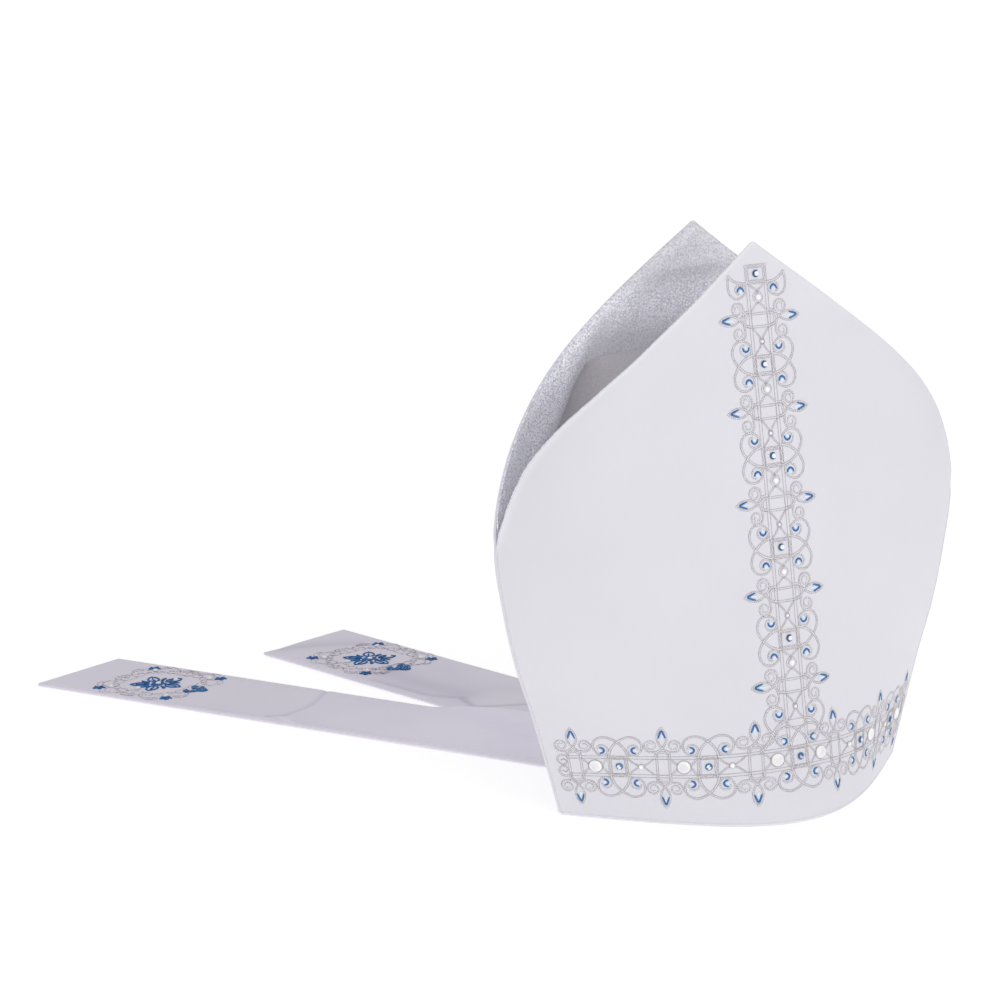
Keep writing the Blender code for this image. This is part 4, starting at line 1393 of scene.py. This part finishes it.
# The spray beyond the frame: half width, then (along, aside)
SPRAY = (
    (2.3, ((22.1, 5.2), (24.2, 2.3), (27.0, -1.3))),
    (2.3, ((27.5, 5.5), (29.2, 2.3), (29.4, -2.3))),
    (2.1, ((32.6, 2.3), (33.6, -1.2), (31.1, -4.2))),
    (2.3, ((22.9, -4.0), (26.0, -7.3), (29.5, -8.3))),
    (2.2, ((27.2, -2.5), (29.4, -5.1), (30.7, -6.3))),
)
# The flower inside the frame, its outlined leaves and the buds between them: half width, then
# (outwards, aside)
FLOWER_CENTRE = (0.0, -1.5)
FLOWER_SIZE = 1.3
FLOWER_LEAF = (
    (0.65, ((5.2, 0.2), (8.0, 3.0), (12.6, 3.0), (16.4, 0.2))),
    (0.65, ((5.2, -0.2), (8.2, -2.6), (12.6, -2.6), (16.4, 0.2))),
    (0.50, ((6.8, 0.1), (10.0, 0.5), (13.2, 0.2))),
)
FLOWER_BUD = (1.2, ((6.4, 0.0), (9.2, 0.7), (12.4, 0.0)))
FIFTH = 2 * pi / 5
FLORET_TURN = 0.3
BLUE_RISE = 0.5
WHITE_STONE = 3.6
WHITE_STONES = (
    (-21.0, 21.0), (19.5, 21.5), (22.0, -21.5), (-19.5, -20.5), (-3.2, -16.0), (4.0, 9.5), (0.0, -1.5))


def turned(points, angle, size=1.0, centre=(0.0, 0.0)):
    c, s = cos(angle), sin(angle)
    points = np.asarray(points, float) * size
    x, y = points[..., 0], points[..., 1]
    return np.stack([x * c - y * s, x * s + y * c], -1) + centre


def skewed(points):
    points = np.array(points, float)
    points[..., 0] += points[..., 1] * FRAME_SKEW
    return points


frame_lines = []
for quarter in range(4):
    turn = quarter * pi / 2
    for hand in (1, -1):
        for points in FRAME_SCROLLS:
            frame_lines.append(skewed(turned(flowing(points) * (hand, 1) + (0.0, FRAME_HALF), turn)))
    frame_lines.append(skewed(turned(flowing(FRAME_SPRIG) + (0.0, FRAME_HALF), turn)))
florets = [(turned((FRAME_HALF, FRAME_HALF), quarter * pi / 2), 1.0) for quarter in range(4)]
drawn = list(SPRAY)
for centre, size in florets + [(FLOWER_CENTRE, FLOWER_SIZE)]:
    drawn += [(PETAL_HALF * size, turned(PETAL, FIFTH * k + FLORET_TURN, size, centre)) for k in range(5)]
for k in range(5):
    drawn += [(half, turned(points, FIFTH * k, 1.0, FLOWER_CENTRE)) for half, points in FLOWER_LEAF]
    drawn.append((FLOWER_BUD[0], turned(FLOWER_BUD[1], FIFTH * (k + 0.5), 1.0, FLOWER_CENTRE)))
shapes = []
for half, points in drawn:
    flat, heights = stitched_patch(points, half, END_HALF, BLUE_RISE)
    shapes.append((skewed(flat), heights))

frame_thread = thread_material("frame_thread", (0.80, 0.77, 0.82), (0.36, 0.32, 0.34), 0.60, 420.0, 0.0)
deep_blue_thread = satin_stitch("deep_blue_thread", (0.014, 0.180, 0.480), (0.004, 0.045, 0.180), 1.6, 0.0)
for material in (frame_thread, deep_blue_thread):
    tree = material.node_tree
    feed(tree, tree.nodes["Principled BSDF"], {"Specular IOR Level": DULL_THREAD})
for strip in (left_strip, right_strip):
    def on_strip(line, lift, strip=strip):
        return strip.place(np.asarray(line) + FRAME_CENTRES[strip.name], lift)

    grey = path_mesh(strip.name + "_frame_embroidery", [on_strip(line, THREAD_LIFT) for line in frame_lines])
    width = FRAME_THREAD * MM
    sizes = {"Stitch": GREY_STITCH * MM, "Width": width / 2, "Rise": width * FRAME_RISE}
    grown(grey, stitches, frame_thread, sizes)
    blue = patches(strip.name + "_blue_stitches", shapes, on_strip, deep_blue_thread)
    spots = [(on_strip, tuple(skewed(stone)), WHITE_STONE / 2 * MM) for stone in WHITE_STONES]
    stones = set_beads(strip.name + "_pearls", small_pearl_shape, spots, pearl_finish, centre_lit)
    for piece, slot in ((grey, "white_satin"), (blue, "white_satin"), (stones, "pearl")):
        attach(piece, "root")
